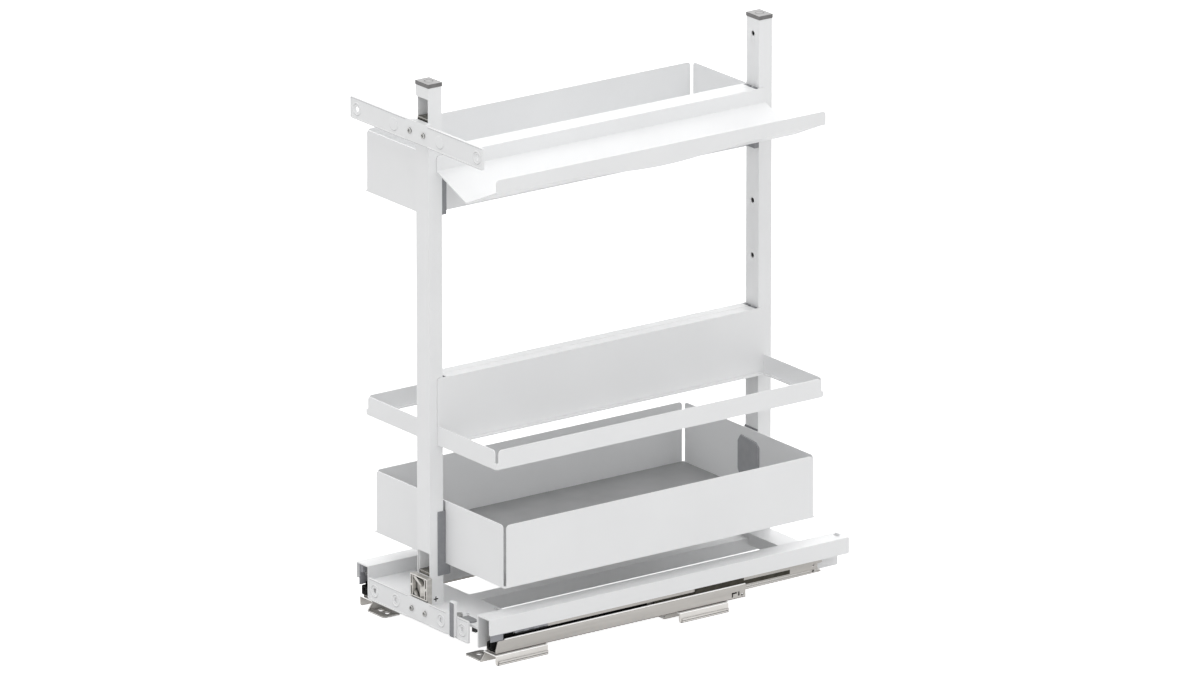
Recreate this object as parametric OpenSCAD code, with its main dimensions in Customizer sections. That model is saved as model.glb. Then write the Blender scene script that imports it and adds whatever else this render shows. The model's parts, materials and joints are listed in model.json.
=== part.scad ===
// Pull out larder unit: a carriage on two floor mounted runners with a spine of two posts,
// an upper tray, a sloping shelf, two open racks and a lower tray.
// Sizes are millimetres. X runs across, Y from front to back, Z up from the cabinet floor.
// Depths are measured from the front face of the front post, heights from the cabinet floor.

/* [Posts] */
// From front face of one post to that of other
post_pitch = 450; // [440:1:460]
// Width of a post
post_width = 24; // [22:0.5:26]
// Depth of a post
post_depth = 18; // [16:0.5:20]
// Wall of post tube
post_wall = 1.5; // [1:0.1:2]
// Height of top end of tube
post_top = 634.2; // [632:0.1:700]
// Height of cap above tube
cap_height = 4.5; // [3:0.1:6]
// How far cap stands proud of tube
cap_overhang = 0.4; // [0.2:0.1:1]
// Depth of cap plug inside tube
cap_plug = 9; // [6:0.5:14]
// Wall of cap plug
cap_plug_wall = 2; // [1:0.1:3]
// Radius of shallow ring on cap
cap_ring_radius = 5; // [3:0.5:7]
// Width of groove and its depth on cap
cap_groove = 0.6; // [0.3:0.1:1]
// Width of windows in front post
window_width = 22; // [16:0.5:22]
// Height of windows in front post
window_height = 27; // [20:0.5:30]
// From top of tube down to lower edge of upper window
window_upper_drop = 40.2; // [38:0.1:42]
// Height of lower window above deck
window_lower_rise = 33.7; // [33.7:0.1:42]
// Corner radius of windows
window_radius = 1.5; // [1:0.1:3]
// Radius of peg holes in inner faces of posts
peg_hole_radius = 3; // [2:0.1:3.4]
// Radius of hole for the tab in the rear wall of lower tray
tab_hole_radius = 2.5; // [2:0.1:3]
// Radius of holes for the pegs of the two lower clip blocks
lower_peg_hole_radius = 2.5; // [2:0.1:3]
// Height of lowest free peg hole
peg_low_z = 359; // [340:1:370]
// Height of middle free peg hole
peg_mid_z = 423; // [400:1:450]
// From top of tube down to top free peg hole
peg_high_drop = 17.8; // [14:0.1:20]
// Height of insert that shows at bottom of a window
insert_rise = 4; // [2:0.5:8]
// Height of upper insert
insert_height = 30; // [20:1:40]

/* [Carriage] */
// Outer face of a rail from middle
rail_outer_x = 127; // [126.6:0.1:128]
// Width of a rail
rail_width = 23; // [22.5:0.1:25]
// Wall of rails
rail_wall = 1.5; // [1:0.1:1.5]
// Height from middle member up to top of a rail
rail_rise = 8; // [8:0.1:10]
// Height of outer flange of a rail
rail_outer_drop = 19; // [15:0.5:19]
// Height of inner flange of a rail
rail_inner_drop = 38; // [30:0.5:40]
// Front end of rails
rail_front_y = -1.5; // [-3:0.1:0]
// Length of rails
rail_length = 493.2; // [485:0.1:500]
// Length of bent hook at rear of a rail
hook_length = 8; // [5:0.5:10]
// Height of bent hook
hook_height = 2.2; // [1:0.1:4]
// Hook from rear end of rail
hook_setback = 6; // [4:0.5:12]
// From outer face of rail to middle of hook
hook_inset = 14; // [10:0.5:15]
// From top of a rail down to decks
deck_drop = 15.7; // [15:0.1:17]
// Sheet of decks
deck_wall = 1.5; // [1:0.1:2]
// Front edge of front deck
deck_front_y = -5.5; // [-5.5:0.1:-4]
// Rear edge of front deck
deck_rear_y = 59.5; // [50:0.5:70]
// How far rear deck reaches in front of rear post
rear_deck_lead = 12; // [8:0.5:20]
// How far rear deck reaches behind rear post
rear_deck_tail = 0; // [0:0.5:7]
// Height of folded edges of decks
deck_fold = 14; // [10:0.5:18]
// Half width of centre beam
beam_half_width = 11; // [9:0.5:13]
// From top of decks down to centre beam
beam_drop = 5.8; // [5.3:0.1:8]
// Height of centre beam
beam_height = 16; // [12:0.5:17]
// Sheet of centre beam
beam_wall = 1.5; // [1:0.1:2]
// How far beam reaches past inner folds of decks
beam_lap = 28; // [20:1:40]
// Depth of cut corners at ends of front deck
deck_corner_depth = 6.5; // [5:0.5:10]
// Height of edge in cut corners
deck_corner_fold = 3; // [2:0.5:5]
// Length of oval hole in front deck
deck_hole_length = 8; // [5:0.5:12]
// Width of oval hole in front deck
deck_hole_width = 4; // [3:0.5:6]
// Oval hole from rail
deck_hole_inset = 42; // [24:1:54]
// Oval hole from rear edge of deck
deck_hole_setback = 4.5; // [4:0.5:12]
// Length of small slot behind latch
latch_slot_length = 8; // [5:0.5:12]
// Width of small slot behind latch
latch_slot_width = 3; // [2:0.5:5]
// Small slot from rail
latch_slot_inset = 48.4; // [40:0.1:56]
// Depth position of small slot
latch_slot_y = 20.2; // [14:0.1:30]
// Length of cut corners at ends of front deck
deck_corner_length = 20; // [15:0.5:24]

/* [Runners] */
// Sheet of runner members
runner_wall = 1.4; // [1:0.1:1.6]
// From outer face of rail to that of cabinet member
cabinet_inset = 1; // [0.7:0.1:1.5]
// From inner wall of carriage member to that of cabinet member
cabinet_inner_gap = 1; // [-0.5:0.1:1.2]
// Underside of cabinet member
cabinet_bottom_z = 12; // [11:0.1:12]
// Height of outer wall of cabinet member
cabinet_outer_rise = 16; // [12:0.1:16]
// Height of inner wall of cabinet member
cabinet_inner_rise = 10; // [8:0.1:12]
// Front end of cabinet member
cabinet_front_y = 7.6; // [7.6:0.1:12]
// Depth of chamfer at front of outer wall
cabinet_chamfer = 2.7; // [1:0.1:4]
// Height of outer wall below its chamfer
cabinet_chamfer_rise = 6; // [3:0.1:8]
// Length of lower part at front of outer wall
cabinet_step_length = 11; // [10.8:0.1:14]
// How much lower front part of outer wall is
cabinet_step_height = 1.5; // [1.5:0.1:3]
// Length of cabinet member
cabinet_length = 341; // [330:1:345]
// Length of cut in rear end of cabinet member
cabinet_cut_length = 7; // [5:0.5:10]
// Height of cut in rear end of cabinet member
cabinet_cut_height = 5.5; // [3:0.1:6]
// Width of the slits in the cut
cabinet_cut_line = 1.8; // [1:0.1:2.2]
// Cut from rear end
cabinet_cut_setback = 10; // [8:0.5:14]
// Radius of rivet holes in base of cabinet member
cabinet_hole_radius = 2.2; // [1.5:0.1:3]
// Height of rivet heads
rivet_head = 1.2; // [0.8:0.1:2]
// Space between middle member and outer wall of carriage member
outer_side_space = 1.8; // [1.8:0.1:2.4]
// Height of middle member above underside of cabinet member
middle_lift = 4; // [4:0.1:5]
// Space for balls between middle member and inner walls
inner_ball_space = 3.6; // [2.4:0.1:4]
// Height of middle member
middle_height = 30; // [28:0.1:32]
// Sheet of middle member
middle_wall = 1.2; // [0.8:0.1:1.6]
// Front end of middle member
middle_front_y = 10; // [8:0.5:10]
// Rear end of middle member
middle_rear_y = 458; // [440:1:470]
// Length of pointed rear tip of middle member
middle_tip = 6; // [3:0.5:10]
// Height of pressed rib along middle member
middle_rib_height = 1.2; // [0.6:0.1:2]
// Height of pressed ribs above underside of middle member
middle_rib_z = 3.9; // [3:0.1:5]
// Distance from one pressed rib to next
middle_rib_pitch = 2.4; // [2.2:0.1:3]
// Radius of holes near rear end of middle member
middle_hole_radius = 1.6; // [1:0.1:2.4]
// Space between rail and inner wall of carriage member
drawer_side_gap = 1.5; // [0.3:0.1:1.5]
// From top of a rail down to lower edge of carriage member
drawer_drop = 23.5; // [22:0.1:23.6]
// Front end of carriage member
drawer_front_y = 36; // [34:0.5:40]
// Rear end of carriage member
drawer_rear_y = 456; // [445:1:485]
// Space kept between pieces that move past each other
slide_gap = 0.3; // [0.25:0.05:0.3]
// Front end of lower ball cage
lower_cage_front_y = 225; // [200:1:226]
// Length of lower ball cage
lower_cage_length = 120; // [90:1:120]
// From front end of cage to that of its outer strip
cage_strip_setback = 55; // [40:1:80]
// Length of outer strip of lower ball cage
cage_strip_length = 132; // [100:1:140]
// Height of outer strip of lower ball cage above cabinet member
cage_strip_lap = 3; // [1:0.1:3]
// Length of the cover on the outer strip of the lower cage
cage_cover_length = 67; // [50:1:100]
// Sheet of ball cages
cage_wall = 1.3; // [1:0.1:1.4]
// Sheet of outer strip of lower ball cage
cage_strip_wall = 0.7; // [0.5:0.05:0.7]
// Height of outer strip of lower ball cage
cage_strip_height = 8; // [5:0.5:9]
// Front end of upper ball cage
upper_cage_front_y = 150; // [130:1:170]
// Length of upper ball cage
upper_cage_length = 180; // [100:1:200]
// Number of balls in a row
ball_count = 5; // [3:1:7]
// Radius play of a ball in its pocket
ball_play = 0.05; // [0.03:0.01:0.1]
// Depth of end piece at front of middle member
end_piece_depth = 6.5; // [6:0.5:9.5]
// Height of end piece
end_piece_height = 10.8; // [10:0.1:13]
// How far the end piece stands in from the inner side of the middle member
end_piece_inset = 2.6; // [0:0.1:4]
// How far the end piece is lifted above the channel floor
end_piece_lift = 2; // [0:0.1:2.5]
// Corner radius of the end piece on its inner side
end_piece_radius = 3.4; // [1:0.1:4]
// Thickness of black strip along middle member
black_strip_wall = 0.85; // [0.5:0.05:0.85]
// Height of black strip
black_strip_height = 4.5; // [3:0.1:5]
// Rear end of black strip
black_strip_rear_y = 279; // [240:1:290]
// Front end of break in black strip
black_break_y = 216; // [180:1:220]
// Length of break in black strip
black_break_length = 11; // [6:1:16]
// Height of raised part at front of black strip
black_block_height = 3.5; // [2:0.1:4]
// Front end of plastic catch strip
catch_front_y = 1; // [0:0.5:3]
// Length of plastic catch strip
catch_length = 77.6; // [60:0.1:90]
// Height of plastic catch strip
catch_height = 5; // [4:0.5:6]
// Length of deep part at front of catch strip
catch_nose_length = 17; // [10:0.5:17]
// Length of notch behind deep part
catch_notch_length = 16; // [10:0.5:17]
// Height left above notch
catch_notch_height = 2; // [1.5:0.1:3]
// Width of block that faces middle member
catch_block_width = 5; // [3:0.5:12]
// Height of the catch block
catch_block_height = 8; // [4:0.5:12]
// Length of block that faces middle member
catch_block_length = 6; // [3:0.5:8]
// From front of catch strip to that of its block
catch_block_setback = 1; // [0:0.5:1]
// From top of rail down to block
catch_block_drop = 4; // [3:0.5:8]
// Thickness of plastic catch strip
catch_wall = 1; // [0.6:0.1:1]

/* [Floor brackets] */
// How far ribbed foot edge stands outside rail
foot_outset = 4.5; // [4:0.1:6]
// Sheet of floor brackets
foot_wall = 1.5; // [1:0.1:2]
// Depth of ribs on foot edge
foot_rib = 1.5; // [1:0.1:2]
// Height of ribs on foot edge
foot_rib_height = 5; // [3:0.1:6]
// Number of ribs on foot edge
foot_rib_count = 2; // [2:1:4]
// Corner radius at lower ends of foot edge
foot_edge_radius = 3; // [1:0.5:4]
// Length of flat tongue from outer face of rail inwards
tongue_reach = 50; // [47:0.5:57]
// Front edge of flat tongue
tongue_front_y = 0; // [-2:0.1:0]
// Depth of flat tongue
tongue_depth = 24; // [20:0.5:26]
// Corner radius of flat tongue
tongue_radius = 3.5; // [2:0.5:8]
// Slant at the upper front corner of the inner foot wall
foot_slant = 8; // [2:0.5:10]
// From front edge of tongue to that of bracket box
foot_setback = 5; // [4:0.1:7]
// Length of front bracket box
front_foot_length = 70; // [60:1:80]
// Length of rear bracket box
rear_foot_length = 67; // [60:1:80]
// Distance from a front bracket to rear bracket behind it
foot_pitch = 250; // [240:1:256]
// Inner slot from outer face of rail
slot_inner_inset = 39.5; // [39:0.5:41]
// Outer slot from outer face of rail
slot_outer_inset = 27.5; // [27:0.5:29]
// Full length of a slot
slot_length = 8.5; // [6:0.5:10]
// Width of a slot
slot_width = 5.6; // [3:0.1:7]
// Slots from front edge of tongue
slot_setback = 12; // [9:0.5:13]
// Radius of pilot hole
pilot_radius = 1.4; // [1:0.1:2]
// Pilot hole from outer face of rail
pilot_inset = 42; // [37:0.5:44]
// Pilot hole from front edge of tongue
pilot_setback = 18; // [17:0.5:19]

/* [Front brackets] */
// Half width of upper bracket
top_bracket_half = 125; // [120:1:130]
// From top of tube down to lower edge of upper bracket
top_bracket_drop = 64.2; // [63:0.1:66]
// Height of upper bracket
top_bracket_height = 24.8; // [20:0.1:26]
// Half width of lower bracket
low_bracket_half = 95.5; // [90:0.5:98]
// From top of deck down to lower edge of lower bracket
low_bracket_drop = 19.1; // [18.5:0.1:20]
// Height of lower bracket
low_bracket_height = 25.6; // [24:0.1:26]
// Front face of both bracket sheets
bracket_front_y = -7.3; // [-7.3:0.1:-7]
// Sheet of brackets
bracket_wall = 1.5; // [1.2:0.1:1.5]
// How far pressed rims stand proud
rim_proud = 0.8; // [0.3:0.1:1]
// Width of pressed rims
rim_width = 1.5; // [1:0.1:3]
// Corner radius of brackets
bracket_radius = 2; // [1:0.1:3]
// Half width of flat middle of brackets
flat_half = 21; // [18:0.5:24]
// Height of end holes above lower edge of upper bracket
top_hole_rise = 12; // [11:0.1:13]
// End holes of upper bracket from middle
top_hole_x = 113.2; // [105:0.1:116]
// Pressed discs of upper bracket from middle
top_disc_x = 43.4; // [40:0.1:60]
// Radius of bracket holes
bracket_hole_radius = 3; // [2:0.1:3.2]
// Outer radius of pressed ring round a bracket hole
ring_radius = 7.4; // [5:0.1:7.5]
// Outer holes of lower bracket from middle
low_hole_outer_x = 83.5; // [82:0.1:86]
// Inner holes of lower bracket from middle
low_hole_inner_x = 43; // [38:0.1:43]
// Height of holes above lower edge of lower bracket
low_hole_rise = 12.8; // [12:0.1:14]
// Inner edge of flat zone behind lever
lever_flat_inner_x = 52; // [51:0.5:58]
// Outer edge of flat zone behind lever
lever_flat_outer_x = 74.5; // [74.5:0.1:75]
// Upper screws from middle
top_screw_x = 12.7; // [10:0.1:13]
// Lower screws from middle
low_screw_x = 12.5; // [10:0.1:14]
// Height of lower screws above lower edge of lower bracket
low_screw_rise = 12.1; // [12:0.1:13]
// Adjustment travel either way
adjust_travel = 1; // [0.5:0.1:1]
// Radius of screw shanks
screw_radius = 2; // [1.8:0.1:2]
// Radius of screw heads
screw_head_radius = 3.25; // [3.2:0.05:4]
// Height of screw heads
screw_head = 1.2; // [1:0.1:1.6]
// Width of cross in a screw head
cross_width = 1.4; // [0.6:0.1:1.6]
// Depth of cross in a screw head
cross_depth = 0.8; // [0.4:0.1:0.9]
// Reach of deep cross in screws at feet of posts
post_cross_reach = 3; // [2:0.1:3.2]
// Depth of deep cross in screws at feet of posts
post_cross_depth = 3; // [1:0.1:4]
// Half width of upper adjuster
top_adjuster_half = 16; // [15.5:0.1:18]
// How far upper adjuster reaches below upper bracket
top_adjuster_drop = 2; // [1.5:0.1:4]
// Height of upper adjuster
top_adjuster_height = 27; // [25:0.5:28]
// Half width of lower adjuster
low_adjuster_half = 15.75; // [15:0.05:17]
// Height of lower adjuster above deck
low_adjuster_height = 33.5; // [25:0.1:33.5]
// Front face of lower adjuster above bracket
cast_front_y = -7.3; // [-8:0.1:-7]
// Wall of cast adjusters
cast_wall = 1.5; // [1.2:0.1:2]
// Width of narrow slots beside cast pocket
cast_slot = 1.6; // [1:0.1:1.8]
// Corner radius of weld nuts
nut_radius = 4; // [3.5:0.1:4.4]
// Height of weld nuts
nut_height = 3; // [2:0.1:3.5]

/* [Lever] */
// Inner face of lever
lever_inner_x = 66; // [64:0.1:66]
// Outer face of lever
lever_outer_x = 73.5; // [73:0.1:74]
// Front face of lever pad
lever_front_y = -12.2; // [-12.6:0.1:-12.2]
// Height of lower end of lever above lower edge of bracket
lever_rise = 1.3; // [1.3:0.1:3]
// Height of lever
lever_height = 41.5; // [34:0.5:45]
// Thickness of lever pad
lever_pad = 0.5; // [0.4:0.05:0.6]
// Wall of lever
lever_wall = 0.8; // [0.7:0.05:0.9]
// Radius of lower end of lever
lever_end_radius = 1.7; // [1.6:0.05:1.7]
// Radius of upper front corner of lever
lever_nose_radius = 1.6; // [1.2:0.1:3]
// Radius of lever pin
lever_pin_radius = 0.6; // [0.5:0.05:0.6]
// Radius of lug that carries lever
lever_lug_radius = 1.1; // [1:0.05:1.1]
// Radius play of pin in lug
pin_play = 0.05; // [0.03:0.01:0.08]
// Width of latch block
latch_width = 19; // [14:0.5:22]
// Latch block from rail
latch_inset = 18; // [10:0.5:20]
// Front of latch block
latch_front_y = 1.2; // [1:0.1:4]
// Depth of latch block
latch_depth = 11.5; // [8:0.5:16]
// Height of latch block
latch_height = 2.2; // [1.5:0.1:5]
// Radius of rounded end of latch block
latch_radius = 5; // [3:0.5:5.5]
// Height of dark hook under cut corner of deck
hook_plate_height = 5; // [3:0.5:6]
// Width of dark hook
hook_plate_width = 14; // [10:0.5:17]
// Thickness of dark hook
hook_plate_wall = 1.5; // [1:0.1:2]
// Latch collar from rail
collar_inset = 45.6; // [44:0.1:50]
// Depth position of latch collar
collar_y = 7; // [5:0.5:10]
// Radius of latch collar
collar_radius = 3.5; // [3.3:0.1:5]
// Height of latch collar
collar_height = 2.5; // [2:0.1:4]

/* [Trays and racks] */
// Sheet of trays, racks and shelf
sheet = 1.5; // [1:0.1:2]
// Space kept between a hung piece and spine
hang_gap = 0.3; // [0.3:0.05:0.5]
// Outer face of upper tray
upper_outer_x = 123.4; // [110:0.1:126]
// Front of hung pieces
hung_front_y = 10.3; // [8:0.1:12]
// Depth of hung pieces
hung_length = 447.2; // [445:0.1:450]
// Height of upper tray
upper_tray_height = 73.2; // [66:0.1:85]
// How much lower outer walls of upper tray are than its flange
upper_wall_drop = 2.2; // [1.7:0.1:12]
// From top of tube down to upper flanges over spine
upper_flange_drop = 78.5; // [75:0.1:79]
// Corner radius of wall tops
wall_radius = 4; // [2:0.5:6]
// Width of corner slots
corner_slot = 3.5; // [2:0.1:4]
// Height of back panel of a rack
rack_height = 77; // [70:0.5:90]
// Height of rack rims
rack_rim_height = 22; // [18:0.5:26]
// Height from top of deck to middle flanges over spine
rack_flange_rise = 262.2; // [255:0.1:272]
// Width of inward lip under rack rims
rack_lip = 5; // [3:0.5:8]
// Height of closed part of rack corners
rack_corner_height = 7; // [4:0.5:10]
// Outer face of racks
rack_outer_x = 123.5; // [110:0.1:126]
// Half width of lower tray
lower_half = 123.3; // [110:0.1:126]
// Front of lower tray
lower_front_y = 21; // [20.9:0.1:24]
// Depth of lower tray
lower_length = 425.7; // [420:0.1:426]
// Height from top of deck to underside of lower tray
lower_tray_rise = 46.6; // [42:0.1:52]
// Height of lower tray
lower_height = 72.2; // [60:0.1:80]
// Thickness of mat in lower tray
mat_thickness = 1; // [0.5:0.1:2]
// Space round mat
mat_gap = 1.5; // [0.5:0.5:3]
// From flange down to lower edge of shelf wall on spine
shelf_root_drop = 18; // [11:0.1:25]
// From flange down to valley line of shelf
shelf_valley_drop = 41.2; // [31:0.1:50]
// Valley line from middle
shelf_valley_x = 68.5; // [60:0.5:80]
// Outer face of shelf lip
shelf_outer_x = 125.5; // [120:0.1:127]
// From flange down to lower edge of lip at its ends
lip_low_drop = 16; // [11:0.1:20]
// From flange down to top of lip
lip_top_drop = 0.1; // [-3:0.1:5]
// How far lip dips in middle
lip_dip = 7.3; // [0:0.1:12]
// Length of straight part of lip at each end
lip_straight = 86; // [60:1:120]

/* [Clips] */
// Half width of clip blocks
clip_half = 11.9; // [10:0.1:11.9]
// Depth of front clip blocks
clip_depth = 6; // [5:0.1:7]
// Height of upper clip blocks
upper_clip_height = 67; // [40:1:70]
// Height of middle clip blocks
middle_clip_height = 66; // [40:1:75]
// Width of nibs on top of clip blocks
nib_width = 7; // [4:0.5:10]
// Depth of nibs on top of clip blocks
nib_depth = 4.5; // [3:0.1:5]
// Radius play of clip pegs
peg_play = 0.05; // [0.02:0.01:0.1]
// Length of clip pegs
peg_length = 5; // [3:0.5:8]
// Half width of lower clips
low_clip_half = 13; // [12.8:0.1:15]
// Plate of lower clips
low_clip_plate = 2.5; // [2:0.1:2.6]
// Height of ledge of lower clips
low_clip_ledge_height = 12.6; // [9:0.1:18]
// Height of main part of lower clips
low_clip_height = 74; // [48:0.5:76]
// Height of thin tongue above lower clips
low_clip_tongue = 12; // [6:0.5:14]
// How far lower clips wrap round posts
low_clip_wrap = 7.6; // [5:0.1:10]
// How far lower clips reach under tray
low_clip_ledge = 9; // [6:0.5:14]
// Middle of tab on rear wall of lower tray
tab_x = 2; // [-4:0.5:4]
// Width of tab
tab_width = 38; // [24:0.5:44]
// Thickness of tab
tab_thickness = 2; // [1:0.1:3]
// Height of tab above underside of lower tray
tab_rise = 17.1; // [10:0.1:25]
// Height of tab
tab_height = 45; // [30:0.5:48]
// Bevel of tab corners
tab_bevel = 5; // [3:0.5:8]

/* [Hidden] */
$fn = 48;
rail_rear_y = rail_front_y + rail_length;
rail_inner_x = rail_outer_x - rail_width;
rear_deck_front_y = post_pitch - rear_deck_lead;
rear_deck_rear_y = post_pitch + post_depth + rear_deck_tail;
drawer_outer_x = rail_outer_x - rail_wall - catch_wall - slide_gap;
drawer_inner_x = rail_inner_x + rail_wall + drawer_side_gap;
cabinet_outer_x = rail_outer_x - cabinet_inset;
cabinet_inner_x = drawer_inner_x + cabinet_inner_gap;
middle_outer_x = drawer_outer_x - runner_wall - outer_side_space;
middle_inner_x = drawer_inner_x + runner_wall + inner_ball_space;
middle_bottom_z = cabinet_bottom_z + middle_lift;
middle_top_z = middle_bottom_z + middle_height;
rail_top_z = middle_top_z + rail_rise;
drawer_bottom_z = rail_top_z - drawer_drop;
deck_top_z = rail_top_z - deck_drop;
beam_top_z = deck_top_z - beam_drop;
foot_outer_x = rail_outer_x + foot_outset;
tongue_inner_x = rail_outer_x - tongue_reach;
slot_inner_x = rail_outer_x - slot_inner_inset;
slot_outer_x = rail_outer_x - slot_outer_inset;
pilot_x = rail_outer_x - pilot_inset;
hook_x = rail_outer_x - hook_inset;
deck_hole_x = rail_inner_x - deck_hole_inset;
latch_slot_x = rail_inner_x - latch_slot_inset;
window_upper_z = post_top - window_upper_drop;
window_lower_z = deck_top_z + window_lower_rise;
peg_high_z = post_top - peg_high_drop;
top_bracket_z = post_top - top_bracket_drop;
top_hole_z = top_bracket_z + top_hole_rise;
top_adjuster_z = top_bracket_z - top_adjuster_drop;
low_bracket_z = deck_top_z - low_bracket_drop;
low_hole_z = low_bracket_z + low_hole_rise;
low_screw_z = low_bracket_z + low_screw_rise;
low_adjuster_top_z = deck_top_z + low_adjuster_height;
lever_bottom_z = low_bracket_z + lever_rise;
lever_top_z = lever_bottom_z + lever_height;
latch_outer_x = rail_inner_x - latch_inset;
latch_inner_x = latch_outer_x - latch_width;
collar_x = rail_inner_x - collar_inset;
upper_flange_z = post_top - upper_flange_drop;
upper_bottom_z = upper_flange_z - upper_tray_height;
upper_wall_z = upper_flange_z - upper_wall_drop;
rack_flange_z = deck_top_z + rack_flange_rise;
rack_bottom_z = rack_flange_z - rack_height;
lower_bottom_z = deck_top_z + lower_tray_rise;
shelf_root_z = upper_flange_z - shelf_root_drop;
shelf_valley_z = upper_flange_z - shelf_valley_drop;
lip_low_z = upper_flange_z - lip_low_drop;
lip_top_z = upper_flange_z - lip_top_drop;
low_clip_z = lower_bottom_z - hang_gap - low_clip_ledge_height;
low_clip_top_z = low_clip_z + low_clip_height;
tab_z = lower_bottom_z + tab_rise;
depth_middle = (lever_front_y + rail_rear_y) / 2;
post_half = post_width / 2;
rail_under_z = rail_top_z - rail_wall;
foot_top_z = cabinet_bottom_z;
cap_side = post_half + cap_overhang;
post_screw_z = deck_top_z + post_depth * 0.4;
post_screw_y = post_depth * 0.444;
hung_rear_y = hung_front_y + hung_length;
spine_face_x = post_half + hang_gap;
flange_front_y = post_depth + nib_depth + hang_gap;
flange_rear_y = post_pitch - nib_depth - hang_gap;
low_tray_top_z = lower_bottom_z + lower_height;
low_tray_rear_y = lower_front_y + lower_length;
lever_axis_y = lever_front_y + lever_pad + lever_wall + hang_gap + lever_lug_radius;
lever_axis_z = lever_bottom_z + lever_end_radius;
lever_rear_y = bracket_front_y - hang_gap;
bracket_rear_y = bracket_front_y + bracket_wall;

// Places the whole unit so that the middle of its footprint is the origin
module place() {
  translate([0, -depth_middle, 0]) children();
}

// A block between two values on each axis
module span(x, y, z) {
  translate([x[0], y[0], z[0]])
    cube([x[1] - x[0], y[1] - y[0], z[1] - z[0]]);
}

// The right hand piece as it is, or its mirror image on the left
module on_side(side) {
  if (side > 0) children();
  else mirror([1, 0, 0]) children();
}

// A round bar along X, Y or Z between two values
module bar_x(x, y, z, r) {
  translate([x[0], y, z]) rotate([0, 90, 0]) cylinder(h = x[1] - x[0], r = r);
}
module bar_y(x, y, z, r) {
  translate([x, y[0], z]) rotate([-90, 0, 0]) cylinder(h = y[1] - y[0], r = r);
}
module bar_z(x, y, z, r) {
  translate([x, y, z[0]]) cylinder(h = z[1] - z[0], r = r);
}

// A slot cutter along Z whose long side runs along X
module slot_z(x, y, z, length, width) {
  run = (length - width) / 2;
  span([x - run, x + run], [y - width / 2, y + width / 2], z);
  bar_z(x - run, y, z, width / 2);
  bar_z(x + run, y, z, width / 2);
}

// A flat outline with four chosen corner radii, lower left corner at the origin
module panel(w, h, low_left, low_right, top_right, top_left) {
  difference() {
    square([w, h]);
    corner(0, 0, 1, 1, low_left);
    corner(w, 0, -1, 1, low_right);
    corner(w, h, -1, -1, top_right);
    corner(0, h, 1, -1, top_left);
  }
}

// The sliver outside a rounded corner
module corner(x, y, dx, dy, r) {
  if (r > 0)
    translate([x, y]) difference() {
      translate([dx > 0 ? 0 : -r, dy > 0 ? 0 : -r]) square([r, r]);
      translate([dx * r, dy * r]) circle(r = r);
    }
}

// A sheet across X, standing up, from x0, with its front face at y
module sheet_across(x, y, z, t, low_left, low_right, top_right, top_left) {
  translate([x[0], y + t, z[0]]) rotate([90, 0, 0]) linear_extrude(t)
    panel(x[1] - x[0], z[1] - z[0], low_left, low_right, top_right, top_left);
}

// A sheet along Y, standing up, with its lower X face at x; left is the front end
module sheet_along(x, y, z, t, low_front, low_rear, top_rear, top_front) {
  translate([x, y[0], z[0]]) rotate([90, 0, 90]) linear_extrude(t)
    panel(y[1] - y[0], z[1] - z[0], low_front, low_rear, top_rear, top_front);
}

// Two crossed cutters for a screw recess facing the front
module cross_front(x, y, z, reach) {
  span([x - reach, x + reach], y, [z - cross_width / 2, z + cross_width / 2]);
  span([x - cross_width / 2, x + cross_width / 2], y, [z - reach, z + reach]);
}

// Floor bracket: channel under the runner, open at both ends, with a flat slotted tongue
module foot(side, start_y, length) {
  box_front = start_y + foot_setback;
  box_rear = box_front + length;
  outer = foot_outer_x - foot_rib;
  inner = cabinet_inner_x - foot_wall;
  tongue_rear = start_y + tongue_depth;
  on_side(side) difference() {
    union() {
      span([inner, outer], [box_front, box_rear], [foot_top_z - foot_wall, foot_top_z]);
      sheet_along(outer - foot_wall, [box_front, box_rear], [0, foot_top_z], foot_wall,
        foot_edge_radius, foot_edge_radius, 0, 0);
      translate([inner, start_y, 0]) rotate([90, 0, 90]) linear_extrude(foot_wall)
        polygon([[0, 0], [box_rear - start_y, 0], [box_rear - start_y, foot_top_z],
          [foot_slant, foot_top_z], [0, foot_wall]]);
      translate([tongue_inner_x, start_y, 0]) linear_extrude(foot_wall)
        panel(inner + foot_wall - tongue_inner_x, tongue_depth, tongue_radius, 0, 0, tongue_radius);
      for (k = [0 : foot_rib_count - 1]) {
        step = foot_rib_height / foot_rib_count;
        rib_z = step * (k + 0.6);
        intersection() {
          bar_y(outer, [box_front + foot_edge_radius, box_rear], rib_z, foot_rib);
          span([outer - foot_wall / 2, foot_outer_x], [box_front, box_rear],
            [rib_z - step * 0.4, rib_z + step * 0.4]);
        }
      }
    }
    slot_z(slot_inner_x, start_y + slot_setback, [-foot_wall, foot_wall * 2], slot_length, slot_width);
    slot_z(slot_outer_x, start_y + slot_setback, [-foot_wall, foot_wall * 2], slot_length, slot_width);
    bar_z(pilot_x, start_y + pilot_setback, [-foot_wall, foot_wall * 2], pilot_radius);
    for (place_share = [0.25, 0.75])
      bar_z((cabinet_inner_x + cabinet_outer_x) / 2, box_front + length * place_share,
        [foot_top_z - foot_wall * 2, foot_top_z + foot_wall], cabinet_hole_radius);
  }
}

module foot_front_left() color("darkgray") place() foot(-1, tongue_front_y, front_foot_length);
module foot_front_right() color("darkgray") place() foot(1, tongue_front_y, front_foot_length);
module foot_rear_left() color("darkgray") place() foot(-1, tongue_front_y + foot_pitch, rear_foot_length);
module foot_rear_right() color("darkgray") place() foot(1, tongue_front_y + foot_pitch, rear_foot_length);

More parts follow.
